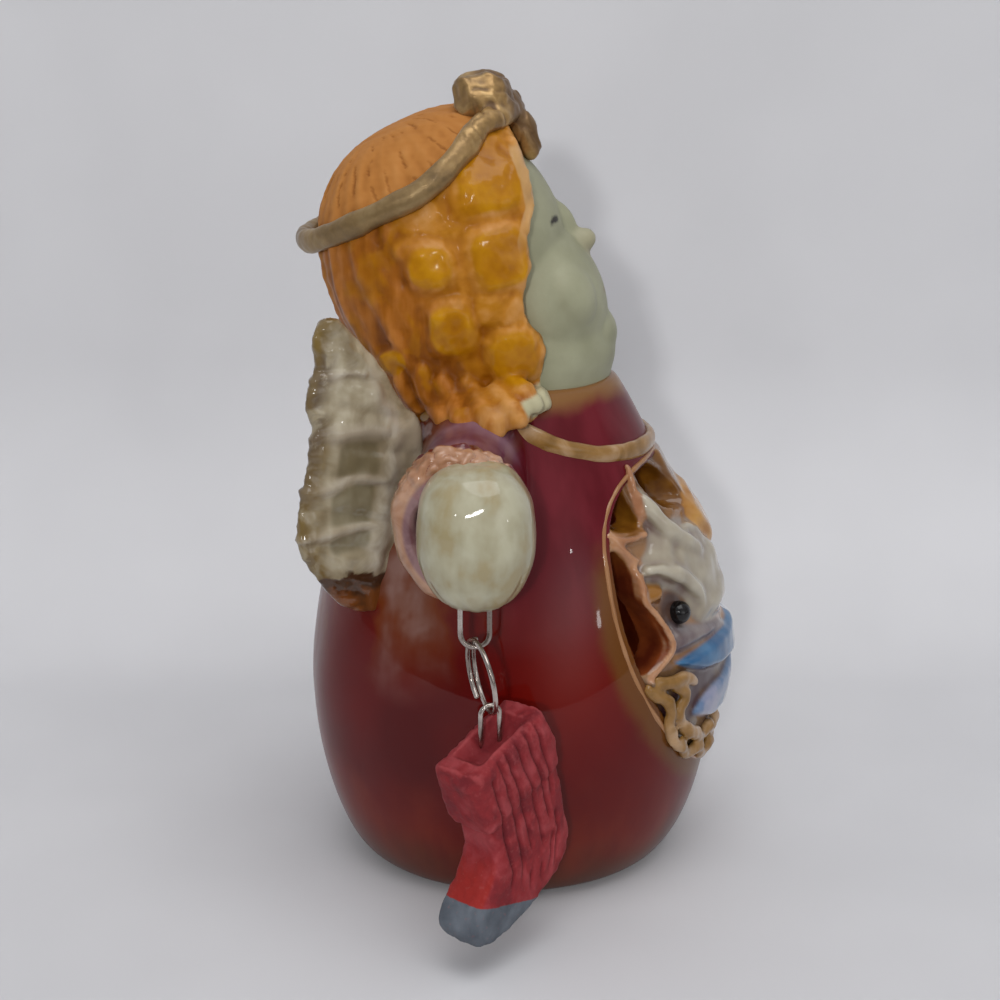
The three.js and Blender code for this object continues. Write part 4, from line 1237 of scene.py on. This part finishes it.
def hands():
    """Squared eggs, flat on top and narrower below, with shallow grooves between the fingers underneath."""
    g = globe(110, 150, 2.5)
    low = eased(0.0, 1.0, -g[..., 2])
    turn = np.arctan2(g[..., 1], g[..., 0])
    groove = np.exp(-((((turn + math.pi) * 1.6) % 1 - 0.5) / 0.1) ** 2)
    g = g * (1 - 0.04 * low * groove - 0.01 * np.sin(3 * turn + 1))[..., None]
    g[..., :2] *= (1.03 - 0.1 * low)[..., None]
    g[..., 2] += 0.02
    egg = skin(g * HAND_HALF + HAND_CENTRE)
    piece = cast(mesh_object("hands", both([egg])), 0.42)
    relaxed(piece, 9)
    points = corners_of(piece)
    set_corners(piece, points + normals_of(piece) * (0.14 * ripples(points, 10, 71))[:, None])
    masks(piece, hollow=hollows(piece, 16, 1.0))
    return piece


# The chain and the stocking.

def bent_wire(radius, leg, centre, turn=0.0, flip=1):
    """A wire bent to a U round a half circle, with both legs up, or down where flip is -1."""
    t = np.linspace(math.pi, TAU, 24)
    y = np.concatenate([np.full(8, -radius), radius * np.cos(t), np.full(8, radius)])
    z = np.concatenate([np.linspace(radius + leg, radius + 0.3, 8), radius + radius * np.sin(t),
                        np.linspace(radius + 0.3, radius + leg, 8)]) * flip
    a = math.radians(turn)
    line = np.stack([-y * math.sin(a), y * math.cos(a), z], -1) + np.asarray(centre, float)
    return rod(line, WIRE * 0.42, 16, out=np.array([math.cos(a), math.sin(a), 0]) + 0 * line)


HANG = unit(np.array(RING_HANG, float))
RING_TOP = np.array(LOOP_BOTTOM) + (0, 0, WIRE + CLEARANCE)
RING_LOW = RING_TOP + 2 * RING_RADIUS * HANG
EYELET_TOP = RING_LOW + (0, 0, WIRE + CLEARANCE)


def split_ring():
    """A helix of a turn and a third about the ring's own line, a wire's width wide."""
    a = math.radians(RING_SPIN)
    way = np.array([math.cos(a), math.sin(a), 0])
    way = unit(way - way @ HANG * HANG)
    pole = np.cross(HANG, way)
    t = np.linspace(-0.17, 1.17, 150)
    angle = TAU * t + 1.9
    lap = 0.52 * WIRE * eased(0, 1, (t + 0.17) / 1.34) * 2 - 0.52 * WIRE
    centre = RING_TOP + RING_RADIUS * HANG
    ring = np.cos(angle)[:, None] * HANG + np.sin(angle)[:, None] * way
    line = centre + RING_RADIUS * ring + lap[:, None] * pole
    return rod(line, WIRE * 0.4, 16, out=pole + 0 * line)


# The stocking lies flat in its own plane: outlines of the sock and its cuff, and the line down its middle.
STOCKING_OUTLINE = [
    (8.9, 0), (9.8, -6), (9.5, -13), (8.6, -21), (7.4, -26.4), (3.6, -30.4), (-5, -32.2), (-14, -31.9),
    (-19, -30.4), (-21, -26.8), (-18.8, -23.8), (-14.6, -21.2), (-11.4, -18.4), (-9.8, -15.2), (-9.6, -6),
    (-9.2, 0),
]
STOCKING_CUFF = [(9.7, 0.4), (10.3, -5.5), (9.9, -10.6), (8, -11.6), (0, -11.9), (-8.6, -11.9),
                 (-10.2, -10.8), (-10.5, -5.5), (-9.8, 0.4), (-8, 0.8), (0, 0.9), (8, 0.8)]
STOCKING_SPINE = [(0, -2), (0, -12), (-1, -20), (-4, -25), (-10, -26.6), (-16, -26.8)]
# Lines scratched down the sock and its cuff: places across it, and how far they bend towards the heel.
SCRATCHES = [(-6.4, 0.5), (-3.6, -0.4), (-1.2, 0.5), (1.6, -0.5), (4.0, 0.5), (6.4, 0.4)]


def hung(points):
    """From the stocking's own plane (across, up, through) to its hanging place."""
    x, y, z = points[..., 0], points[..., 1], points[..., 2] - STOCKING_THICK / 2
    x, y, z = x, -z, y
    a = math.radians(-STOCKING_TILT)
    x, z = x * math.cos(a) + z * math.sin(a), -x * math.sin(a) + z * math.cos(a)
    b = math.radians(STOCKING_TURN)
    x, y = x * math.cos(b) - y * math.sin(b), x * math.sin(b) + y * math.cos(b)
    return np.stack([x, y, z], -1) + STOCKING_TOP


def pillow(outline, spine, low, high, rows=26, sides=260, edge=0.2):
    """A plate with rounded edges: rings of the outline shrunk towards a spine line. The face stands at
    (1 - (1 - s)^6)^edge of its half thickness, s being how far in a ring is."""
    line = curve(outline, sides, closed=True)
    spine = curve(spine, 60)
    nearest = np.abs(line[:, None] - spine[None]).sum(-1).argmin(1)
    core = spine[nearest]
    s = np.concatenate([np.linspace(1, 0, rows), np.linspace(0, 1, rows)[1:]]) ** 1.8
    flat = line + (core - line) * (s[:, None, None] * 0.97)
    rise = (1 - (1 - s) ** 6) ** edge
    sign = np.concatenate([np.full(rows, -1.0), np.full(rows - 1, 1.0)])
    middle, half = (low + high) / 2, (high - low) / 2
    z = middle + (sign * half * rise)[:, None] + 0 * flat[..., 0]
    return skin(np.concatenate([flat, z[..., None]], -1))


def stocking():
    """A sock and its cuff as rounded plates, fused, hollowed at the top, scratched with lines, worn soft
    and hung."""
    sock = pillow(STOCKING_OUTLINE, STOCKING_SPINE, 0, STOCKING_THICK)
    cuff = pillow(STOCKING_CUFF, [(-4, -5.5), (4, -5.5)], -0.9, STOCKING_THICK + 0.6, edge=0.16)
    piece = cast(mesh_object("stocking_clay", [sock, cuff]), 0.34)
    relaxed(piece, 3)
    points = corners_of(piece)
    x, y, depth = points[:, 0], points[:, 1], points[:, 2] - STOCKING_THICK / 2
    dip = np.clip(1 - np.abs(x / 6.6) ** 4, 0, 1) * np.clip(1 - np.abs(depth / 3.4) ** 4, 0, 1)
    dip *= eased(-1.2, 0, y)
    points[:, 1] -= 2.4 * dip
    sway = np.interp(-y, [-2, 12, 22, 27.5], [0, 0.2, -1.2, -4.5])
    groove = np.zeros(len(x))
    for across, bend in SCRATCHES:
        line = across + sway + bend * np.sin(0.09 * y + across)
        drawn = eased(-1.0, -0.86, np.sin(0.22 * y + 2.3 * across))
        groove = np.maximum(groove, np.exp(-((x - line) / 0.3) ** 2) * eased(-30, -25, y) * drawn)
    groove *= eased(-0.8, -0.4, ripples(points, 12, 83))
    broad = np.abs(normals_of(piece)[:, 2]) ** 2
    worn = 0.2 * ripples(points, 6, 81) + 0.1 * ripples(points, 1.8, 82)
    step = np.exp(-((y + 12.6 + 0.3 * ripples(points, 4, 84)) / 0.5) ** 2)
    step *= eased(3, -2, x) * eased(0.8, 0.3, broad)
    points += normals_of(piece) * (worn - 0.8 * groove * broad - 0.5 * step)[:, None]
    # The dip mask also marks the hollow at the top, painted darker as shade.
    masks(piece, groove=groove * broad, dip=dip, toe=eased(0.5, -0.5, y + 25 + 0.667 * (x + 13.8)),
          front=eased(0.8, 0.2, broad) * eased(2, -4, x))
    set_corners(piece, hung(points))
    masks(piece, hollow=hollows(piece, 14, 1.0))
    return piece


# Materials.

def robe_glaze():
    """Deep red glaze: plum above, blood red in the middle, brown and olive where it runs thin."""
    f = Finish("robe_glaze", **{**GLAZE, "Coat_Weight": 0.48, "Specular_IOR_Level": 0.03})
    x, y, z = f.height("X"), f.height("Y"), f.height("Z")
    broad, cloud, fine = f.noise(34, 2), f.noise(15, 3, 0.3), f.noise(5, 3)
    runs = f.stretched(8, (1, 1, 0.16))
    red = f.ramp(broad, [(0.34, srgb(74, 2, 2)), (0.5, srgb(88, 5, 3)), (0.66, srgb(100, 14, 6))])
    plum = f.between(z + 30 * broad, 66, 84)
    colour = f.mix(plum, red, f.ramp(runs, [(0.38, srgb(84, 12, 22)), (0.62, srgb(100, 24, 34))]))
    low = f.between(z + 24 * cloud, 40, 22)
    colour = f.mix(low * 0.8, colour, f.ramp(runs, [(0.36, srgb(90, 14, 8)), (0.6, srgb(106, 32, 16))]))
    yoke = f.between(z + 8 * cloud, 95, 98)
    colour = f.mix(yoke, colour, srgb(124, 86, 48))
    behind = f.between(y + 14 * broad, 8, 26) * f.between(z + 12 * cloud, 46, 66)
    streaks = f.ramp(cloud + 0.5 * (runs - 0.5) + 0.2 * (fine - 0.5),
                     [(0.36, srgb(92, 24, 16)), (0.46, srgb(108, 54, 22)),
                      (0.54, srgb(112, 70, 52)), (0.66, srgb(132, 102, 92))])
    colour = f.mix(behind * 0.85, colour, streaks)
    shoulder = f.between(z + 10 * cloud, 86, 92) * f.between(10 * cloud - x, 27, 33)
    mauve = f.ramp(cloud, [(0.4, srgb(96, 56, 72)), (0.6, srgb(138, 108, 124))])
    colour = f.mix(shoulder * 0.7, colour, mauve)
    foot = f.between(z + 14 * cloud, 22, 8)
    colour = f.mix(foot * 0.7, colour, srgb(70, 42, 22))
    rim = f.attribute("rim") * f.between(z, 76, 54)
    colour = f.mix(f.between(rim + 0.4 * (fine - 0.5), 0.05, 0.8) * 0.9, colour, srgb(98, 60, 22))
    inner = f.attribute("inner")
    colour = f.mix(inner, colour, srgb(164, 108, 44))
    # Painted light: a faint emission on the hollow's wall stands in for light reaching it through the windows.
    painted_bounce_light = f.mix(inner, (0, 0, 0), (0.05, 0.014, 0.005))
    return f.finish(colour, bump=cloud, distance=0.3, strength=0.25, painted_bounce_light=painted_bounce_light)


def belly_glaze():
    """Tan ground with white fleece, an orange crest, a blue scarf with pale ends and amber wells; painted
    shade in the windows' walls, on the jaws, on the carving low down and round the eyes.
    """
    f = Finish("belly_glaze", **GLAZE)
    fine, cloud = f.noise(2.6, 4), f.noise(7, 3)
    hollow = f.attribute("hollow")
    colour = f.ramp(cloud, [(0.35, srgb(118, 76, 42)), (0.65, srgb(148, 110, 74))])
    colour = f.mix(f.between(f.height("Z"), 69, 73) * 0.8, colour, srgb(92, 60, 26))
    # Painted shade: the raised carving below the jaws darkened to mauve-brown.
    shade = f.ramp(cloud, [(0.4, srgb(62, 36, 40)), (0.62, srgb(104, 80, 54))])
    colour = f.mix(f.attribute("low"), colour, shade)
    wool = f.ramp(hollow + 0.6 * (cloud - 0.5),
                  [(0.3, srgb(172, 164, 146)), (0.52, srgb(150, 140, 122)), (0.75, srgb(116, 98, 90))])
    colour = f.mix(f.attribute("wool"), colour, wool)
    # Painted shade: the jaws under the heads in mauve-grey.
    jaw = f.ramp(cloud, [(0.38, srgb(88, 70, 74)), (0.62, srgb(124, 112, 108))])
    colour = f.mix(f.attribute("jaw"), colour, jaw)
    # Painted shade: dark mauve round each eye, for the shade in its socket.
    colour = f.mix(f.attribute("socket") * 0.8, colour, srgb(52, 40, 44))
    colour = f.mix(f.attribute("patch"), colour, srgb(144, 96, 34))
    for mask, dark, light in (("crest", (0.35, srgb(156, 106, 44)), (0.65, srgb(190, 144, 80))),
                              ("pale", (0.4, srgb(84, 112, 146)), (0.58, srgb(140, 142, 164))),
                              ("scarf", (0.4, srgb(30, 80, 122)), (0.65, srgb(54, 106, 146)))):
        colour = f.mix(f.attribute(mask), colour, f.ramp(cloud, [dark, light]))
    frame = f.ramp(cloud, [(0.38, srgb(146, 96, 62)), (0.62, srgb(178, 132, 96))])
    colour = f.mix(f.attribute("frame") * 0.9, colour, frame)
    pooled = f.between(hollow, 0.6, 0.85)
    colour = f.mix(pooled * 0.5, colour, srgb(84, 48, 30))
    # Painted shade: the windows' walls and the plate's back, amber above and deep brown below.
    upper = f.between(f.height("Z"), 62, 72)
    deep = f.ramp(cloud, [(0.35, srgb(74, 26, 12)), (0.65, srgb(122, 60, 26))])
    amber = f.ramp(cloud, [(0.35, srgb(92, 54, 10)), (0.65, srgb(138, 92, 26))])
    colour = f.mix(f.attribute("well"), colour, f.mix(upper, deep, amber))
    return f.finish(colour, bump=fine, distance=0.15, strength=0.3)


def tan_glaze():
    """Ochre-tan glaze over clay, pale in patches and dark in its creases."""
    f = Finish("tan_glaze", **{**GLAZE, "Coat_Weight": 0.7})
    cloud, fine = f.noise(6, 4, 0.5), f.noise(2, 3)
    colour = f.ramp(cloud, [(0.32, srgb(118, 84, 34)), (0.5, srgb(142, 106, 58)), (0.68, srgb(172, 140, 104))])
    colour = f.mix(f.attribute("pink") * 0.7, colour, srgb(152, 104, 68))
    pooled = f.between(f.attribute("hollow") + 0.3 * (fine - 0.5), 0.55, 0.78)
    colour = f.mix(pooled, colour, srgb(62, 34, 30))
    return f.finish(colour, bump=fine, distance=0.1, strength=0.25)


def black_glaze():
    """Near-black glaze for the animals' eyes."""
    f = Finish("black_glaze", **{**GLAZE, "Roughness": 0.2, "Coat_Weight": 0.5})
    return f.finish(f.ramp(f.noise(2), [(0.3, srgb(8, 7, 8)), (0.7, srgb(22, 19, 20))]))


def face_clay():
    """Pale grey-green clay under a thin satin glaze, with painted eyes and lips."""
    f = Finish("face_clay", Roughness=0.5, IOR=1.5, Specular_IOR_Level=0.35)
    cloud, grain = f.noise(12, 4), f.noise(0.7, 2)
    colour = f.ramp(cloud, [(0.35, srgb(136, 136, 110)), (0.65, srgb(154, 154, 128))])
    colour = f.mix(f.attribute("nose") * 0.35, colour, srgb(166, 150, 122))
    colour = f.mix(f.attribute("lips") * 0.5, colour, srgb(132, 108, 88))
    colour = f.mix(f.attribute("eye"), colour, srgb(36, 30, 24))
    return f.finish(colour, bump=grain, distance=0.06, strength=0.4)


def hair_glaze():
    """Matte orange clay on the crown, and below the band peach-orange with deep honey glaze on the
    pads."""
    f = Finish("hair_glaze", **{**GLAZE, "Roughness": 0.45, "Coat_Roughness": 0.12})
    cloud, fine = f.noise(7, 3, 0.5), f.noise(1.8, 3)
    runs = f.stretched(4, (1, 1, 0.22))
    hollow = f.attribute("hollow") + 0.2 * (fine - 0.5)
    ground = f.ramp(hollow + 0.7 * (cloud - 0.5),
                    [(0.3, srgb(196, 142, 80)), (0.5, srgb(178, 118, 38)), (0.75, srgb(142, 82, 10))])
    combed = f.ramp(hollow + 1.3 * (runs - 0.5),
                    [(0.28, srgb(176, 112, 50)), (0.5, srgb(150, 88, 22)), (0.74, srgb(118, 64, 10))])
    honey = f.ramp(hollow + 0.7 * (cloud - 0.5),
                   [(0.26, srgb(186, 130, 8)), (0.48, srgb(166, 108, 0)), (0.76, srgb(136, 78, 0))])
    colour = f.mix(f.attribute("strand"), ground, combed)
    colour = f.mix(f.between(cloud, 0.5, 0.62) * 0.6, colour, honey)
    colour = f.mix(f.between(f.attribute("honey") + 0.9 * (cloud - 0.5), 0.25, 0.75), colour, honey)
    hem = f.between(f.attribute("hem") + 1.2 * (cloud - 0.5), 0.4, 0.9) * f.between(f.height("Z"), 118, 128)
    colour = f.mix(hem * 0.6, colour, srgb(192, 158, 112))
    tips = f.attribute("tips") * f.between(cloud, 0.45, 0.6)
    colour = f.mix(tips * 0.5, colour, f.ramp(runs, [(0.4, srgb(192, 146, 96)), (0.6, srgb(132, 62, 22))]))
    colour = f.mix(f.attribute("cream"), colour, srgb(178, 172, 140))
    matte = f.ramp(f.attribute("hollow") + 0.3 * (cloud - 0.5),
                   [(0.3, srgb(184, 128, 70)), (0.5, srgb(172, 114, 56)), (0.72, srgb(136, 82, 34))])
    crown = f.attribute("crown")
    colour = f.mix(crown, colour, f.mix(f.attribute("crack") * 0.35, matte, srgb(110, 62, 26)))
    rough = f.between(crown, 0, 1) * 0.3 + 0.4
    coat = f.mix_value(f.attribute("honey"), 0.1, 0.36) * (1 - crown)
    return f.finish(colour, rough, bump=fine, distance=0.1, strength=0.3, coat=coat)


def gold_lustre():
    """Gold lustre over brown clay: bright on ridges, worn to grey-brown in the creases, and darker
    grey-brown on the knot and towards the back."""
    f = Finish("gold_lustre", IOR=1.5, Roughness=0.35)
    cloud, fine = f.noise(6, 4, 0.5), f.noise(1.1, 3)
    worn = f.between(f.attribute("hollow") + 0.6 * (cloud - 0.5), 0.46, 0.72)
    gold = f.ramp(cloud + 0.3 * (fine - 0.5),
                  [(0.35, srgb(128, 100, 64)), (0.55, srgb(168, 134, 84)), (0.72, srgb(196, 164, 112))])
    colour = f.mix(worn, gold, srgb(98, 72, 44))
    # Darker grey-brown on the knot and towards the back.
    colour = f.mix(f.attribute("knot") * 0.75, colour, srgb(92, 66, 42))
    colour = f.mix(f.between(f.height("Y"), 4, 20) * 0.55, colour, srgb(106, 92, 66))
    metal = f.finish(colour, 0.24 + 0.24 * worn + 0.2 * fine, bump=fine, distance=0.14, strength=0.5)
    f.tree.links.new((0.5 - 0.3 * worn).socket, f.shader.inputs["Metallic"])
    return metal


def wing_glaze():
    """Cream-grey glaze, pale on the veins and olive between them, amber on the edge and pooled at the
    foot."""
    f = Finish("wing_glaze", **GLAZE)
    cloud, fine = f.noise(6, 5, 0.8), f.noise(1.6, 3)
    runs = f.stretched(7, (1, 1, 0.4))
    cream = f.ramp(runs + 0.8 * (cloud - 0.5),
                   [(0.34, srgb(128, 114, 88)), (0.5, srgb(154, 142, 116)), (0.66, srgb(176, 166, 142))])
    veins = f.ramp(cloud, [(0.4, srgb(160, 148, 128)), (0.6, srgb(182, 173, 156))])
    colour = f.mix(f.attribute("veins") * 0.85, cream, veins)
    cells = f.between(f.attribute("cells") + 0.9 * (cloud - 0.5), 0.3, 0.85)
    olive = f.ramp(runs, [(0.4, srgb(104, 94, 68)), (0.6, srgb(124, 116, 92))])
    colour = f.mix(cells * 0.75, colour, olive)
    edge = f.attribute("edge") * f.between(cloud, 0.36, 0.52)
    brown = f.ramp(runs, [(0.36, srgb(116, 92, 30)), (0.6, srgb(78, 56, 28))])
    colour = f.mix(edge * 0.85, colour, brown)
    foot = f.attribute("foot") + (cloud - 0.5)
    colour = f.mix(f.between(foot, 0.4, 0.52), colour, srgb(64, 40, 22))
    colour = f.mix(f.between(foot, 0.72, 0.95) * 0.8, colour, srgb(118, 66, 26))
    return f.finish(colour, bump=fine, distance=0.12, strength=0.3)


def cuff_glaze():
    """Peach-tan lip with maroon in its creases, a mauve ring and recess painted as the shade between lip and
    hand, and the robe's maroon outside.
    """
    f = Finish("cuff_glaze", **GLAZE)
    cloud, fine = f.noise(5, 4, 0.6), f.noise(1.6, 3)
    colour = f.ramp(cloud, [(0.35, srgb(74, 14, 20)), (0.65, srgb(102, 30, 34))])
    # Painted shade: mauve-grey inside the cuff round the hand.
    colour = f.mix(f.attribute("recess"), colour,
                   f.ramp(cloud, [(0.35, srgb(102, 58, 64)), (0.65, srgb(140, 104, 106))]))
    peach = f.ramp(cloud, [(0.32, srgb(134, 90, 60)), (0.5, srgb(164, 120, 90)), (0.68, srgb(180, 142, 116))])
    # Painted shade: the lip's inner side in mauve, between lip and hand.
    ring = f.ramp(cloud, [(0.4, srgb(110, 72, 76)), (0.6, srgb(140, 106, 106))])
    lip = f.between(f.attribute("lip") + 0.25 * (fine - 0.5), 0.2, 0.6)
    colour = f.mix(lip, colour, f.mix(f.attribute("mauve"), peach, ring))
    creased = f.between(f.attribute("hollow") + 0.2 * (fine - 0.5), 0.6, 0.82)
    colour = f.mix(creased * 0.7, colour, srgb(104, 48, 40))
    return f.finish(colour, bump=fine, distance=0.1, strength=0.3)


def hand_glaze():
    """Thick cream glaze with a faint celadon cast and a few tan runs."""
    f = Finish("hand_glaze", **{**GLAZE, "Coat_Weight": 0.8})
    runs, cloud = f.stretched(5, (1, 1, 0.4)), f.noise(7, 5)
    cream = f.ramp(runs + 0.8 * (cloud - 0.5),
                   [(0.34, srgb(152, 140, 106)), (0.46, srgb(160, 154, 128)), (0.68, srgb(174, 170, 146))])
    hollow = f.between(f.attribute("hollow"), 0.55, 0.8)
    colour = f.mix(hollow * 0.5, cream, srgb(116, 102, 72))
    return f.finish(colour, bump=cloud, distance=0.12, strength=0.2)


def steel():
    """Bright drawn wire: fine scratches along it vary the roughness."""
    f = Finish("steel_wire", Metallic=1.0, Roughness=0.25)
    fine, cloud = f.noise(0.5, 3), f.noise(4, 2)
    colour = f.ramp(cloud, [(0.35, srgb(142, 130, 122)), (0.65, srgb(204, 195, 187))])
    return f.finish(colour, 0.1 + 0.26 * fine, bump=fine, distance=0.02, strength=0.4)


def stocking_paint():
    """Matte red paint on clay, paler on its high places as wear with a painted highlight, dark in the
    scratches, darker in the hollow at its top as painted shade, with a blue-grey toe.
    """
    f = Finish("stocking_paint", Roughness=0.75, IOR=1.45, Specular_IOR_Level=0.3)
    cloud, grain = f.noise(5, 4, 0.5), f.noise(0.6, 3)
    red = f.ramp(cloud, [(0.34, srgb(108, 30, 36)), (0.5, srgb(130, 38, 42)), (0.68, srgb(146, 58, 62))])
    low = f.between(f.height("Z") + 8 * cloud, 27, 21)
    colour = f.mix(low * f.attribute("front") * 0.8, red, srgb(142, 34, 26))
    # Paler on the high places: rubbed wear, with a painted highlight on the edges.
    rubbed_and_highlight = f.between(f.attribute("hollow") + 0.3 * (grain - 0.5), 0.4, 0.2)
    colour = f.mix(rubbed_and_highlight * 0.32, colour, srgb(172, 82, 84))
    colour = f.mix(f.attribute("groove") * 0.6, colour, srgb(74, 14, 22))
    # Painted shade: darker red in the hollow at the stocking's top.
    colour = f.mix(f.attribute("dip") * 0.5, colour, srgb(90, 20, 26))
    grey = f.ramp(cloud, [(0.35, srgb(76, 82, 90)), (0.65, srgb(96, 102, 110))])
    colour = f.mix(f.between(f.attribute("toe") + 0.3 * (grain - 0.5), 0.35, 0.65), colour, grey)
    colour = f.mix(f.between(grain, 0.6, 0.75) * 0.2, colour, srgb(160, 92, 88))
    return f.finish(colour, 0.62 + 0.2 * cloud, bump=grain, distance=0.12, strength=0.6)


# The figure, its chain and its stocking.

tan = tan_glaze()
for part, finish in ((robe, robe_glaze()), (belly, belly_glaze()), (eyes, black_glaze()), (ruffle, tan),
                     (rim, tan), (face, face_clay()), (hair, hair_glaze()), (halo, gold_lustre()),
                     (wings, wing_glaze()), (cuffs, cuff_glaze()), (hands, hand_glaze())):
    dressed(part(), "glaze", finish, "figure")
wire = steel()
loop = bent_wire(LOOP_RADIUS, LOOP_LEG, LOOP_BOTTOM)
eyelet = bent_wire(EYELET_RADIUS, EYELET_LEG, EYELET_TOP, RING_SPIN, -1)
dressed(mesh_object("hand_wire", [loop]), "wire", wire, "hand_loop")
dressed(mesh_object("split_ring", [split_ring()]), "wire", wire, "jump_ring")
dressed(mesh_object("stocking_wire", [eyelet]), "wire", wire, "stocking_eyelet")
dressed(stocking(), "clay", stocking_paint(), "stocking")


# Floor, light and camera, in metres.

def sweep():
    """A seamless floor and backdrop: flat, then a quarter circle, then upright. The paper has one side only,
    like a stage set, so the backdrop doesn't hide the figure from behind."""
    width, near, start, bend, top = 1.6, -0.27, 0.085, 0.07, 0.9
    a = np.linspace(0, math.pi / 2, 24)
    x = np.concatenate([[near], start + bend * np.sin(a), [start + bend]])
    z = np.concatenate([[0], bend - bend * np.cos(a), [top]])
    points = [(px, y, pz) for y in (-width, width) for px, pz in zip(x, z)]
    count = len(x)
    faces = [(i, i + 1, count + i + 1, count + i) for i in range(count - 1)]
    mesh = bpy.data.meshes.new("sweep")
    mesh.from_pydata(points, [], faces)
    mesh.polygons.foreach_set("use_smooth", np.ones(len(faces), bool))
    made = bpy.data.objects.new("sweep", mesh)
    bpy.context.scene.collection.objects.link(made)
    f = Finish("pale_paper", Roughness=0.85)
    behind = f.node("NewGeometry", {}, {}, "Backfacing")
    f.tree.links.new((1 - behind).socket, f.shader.inputs["Alpha"])
    paper = f.ramp(f.noise(60, 2), [(0.3, (0.6, 0.6, 0.615)), (0.7, (0.64, 0.64, 0.655))])
    made.data.materials.append(f.finish(paper))


def lamp(name, place, target, size, power, height=None):
    """A soft rectangular light at a place, facing a target."""
    light = bpy.data.lights.new(name, "AREA")
    light.shape = "RECTANGLE"
    light.size, light.size_y = size, height or size
    light.energy = power
    made = bpy.data.objects.new(name, light)
    x, y, z = np.subtract(target, place)
    made.location = place
    made.rotation_euler = (math.atan2(math.hypot(x, y), -z), 0, math.atan2(-x, y))
    made.visible_camera = False
    bpy.context.scene.collection.objects.link(made)
    return made


sweep()
lamp("key", (-1.0, 0.13, 0.33), (0, 0, 0.09), 0.045, 2.8).visible_glossy = False
lamp("window", (-1.0, 0.1, 0.44), (0, 0, 0.09), 0.09, 0.95)
lamp("far_window", (-0.96, 0.42, 0.42), (0, 0, 0.09), 0.05, 0.2)
lamp("spark", (-0.79, -0.54, 0.48), (0, 0, 0.09), 0.012, 0.02)
lamp("overhead", (-0.3, -0.1, 1.0), (0, 0, 0.05), 0.7, 3.5)
lamp("tall", (-0.6, -0.64, 0.15), (0, 0, 0.07), 0.03, 0.06, 0.05)

# The room's light by the height of a direction: dark below, two pale bands and a bright ceiling.
world = bpy.data.worlds.new("room")
world.use_nodes = True
room = world.node_tree
side_of = room.nodes.new("ShaderNodeTexCoord")
split = room.nodes.new("ShaderNodeSeparateXYZ")
shade = room.nodes.new("ShaderNodeValToRGB")
room.links.new(side_of.outputs["Generated"], split.inputs[0])
room.links.new(split.outputs[2], shade.inputs[0])
SKY = [(0, 0.12), (0.05, 0.15), (0.14, 0.42), (0.26, 0.38), (0.42, 0.26), (0.6, 0.44), (1, 0.66)]
for _ in SKY[2:]:
    shade.color_ramp.elements.new(1)
for element, (position, level) in zip(shade.color_ramp.elements, SKY):
    element.position = position
    element.color = (level, level, 1.04 * level, 1)
# A soft patch of brighter sky to the right of the camera: the dot product of two directions to a power.
toward = room.nodes.new("ShaderNodeVectorMath")
toward.operation = "DOT_PRODUCT"
toward.inputs[1].default_value = (-0.8, -0.56, 0.2)
room.links.new(side_of.outputs["Generated"], toward.inputs[0])
patch = toward.outputs["Value"]
for operation, number in (("MAXIMUM", 0), ("POWER", 24), ("MULTIPLY", 1.2)):
    step = room.nodes.new("ShaderNodeMath")
    step.operation = operation
    step.inputs[1].default_value = number
    room.links.new(patch, step.inputs[0])
    patch = step.outputs[0]
total = room.nodes.new("ShaderNodeVectorMath")
room.links.new(shade.outputs[0], total.inputs[0])
room.links.new(patch, total.inputs[1])
room.links.new(total.outputs[0], room.nodes["Background"].inputs["Color"])
bpy.context.scene.world = world
bpy.context.scene.view_settings.view_transform = "Standard"

# The camera looks along +X and 15 degrees down, with a focal length of 1.9 sensor widths.
SENSOR = 36
camera_data = bpy.data.cameras.new("camera")
camera_data.sensor_width = SENSOR
camera_data.lens = 1.9 * SENSOR
camera = bpy.data.objects.new("camera", camera_data)
camera.location = (-0.3547, 0.0041, 0.1653)
camera.rotation_euler = (math.radians(75), 0, math.radians(-90))
bpy.context.scene.collection.objects.link(camera)
bpy.context.scene.camera = camera
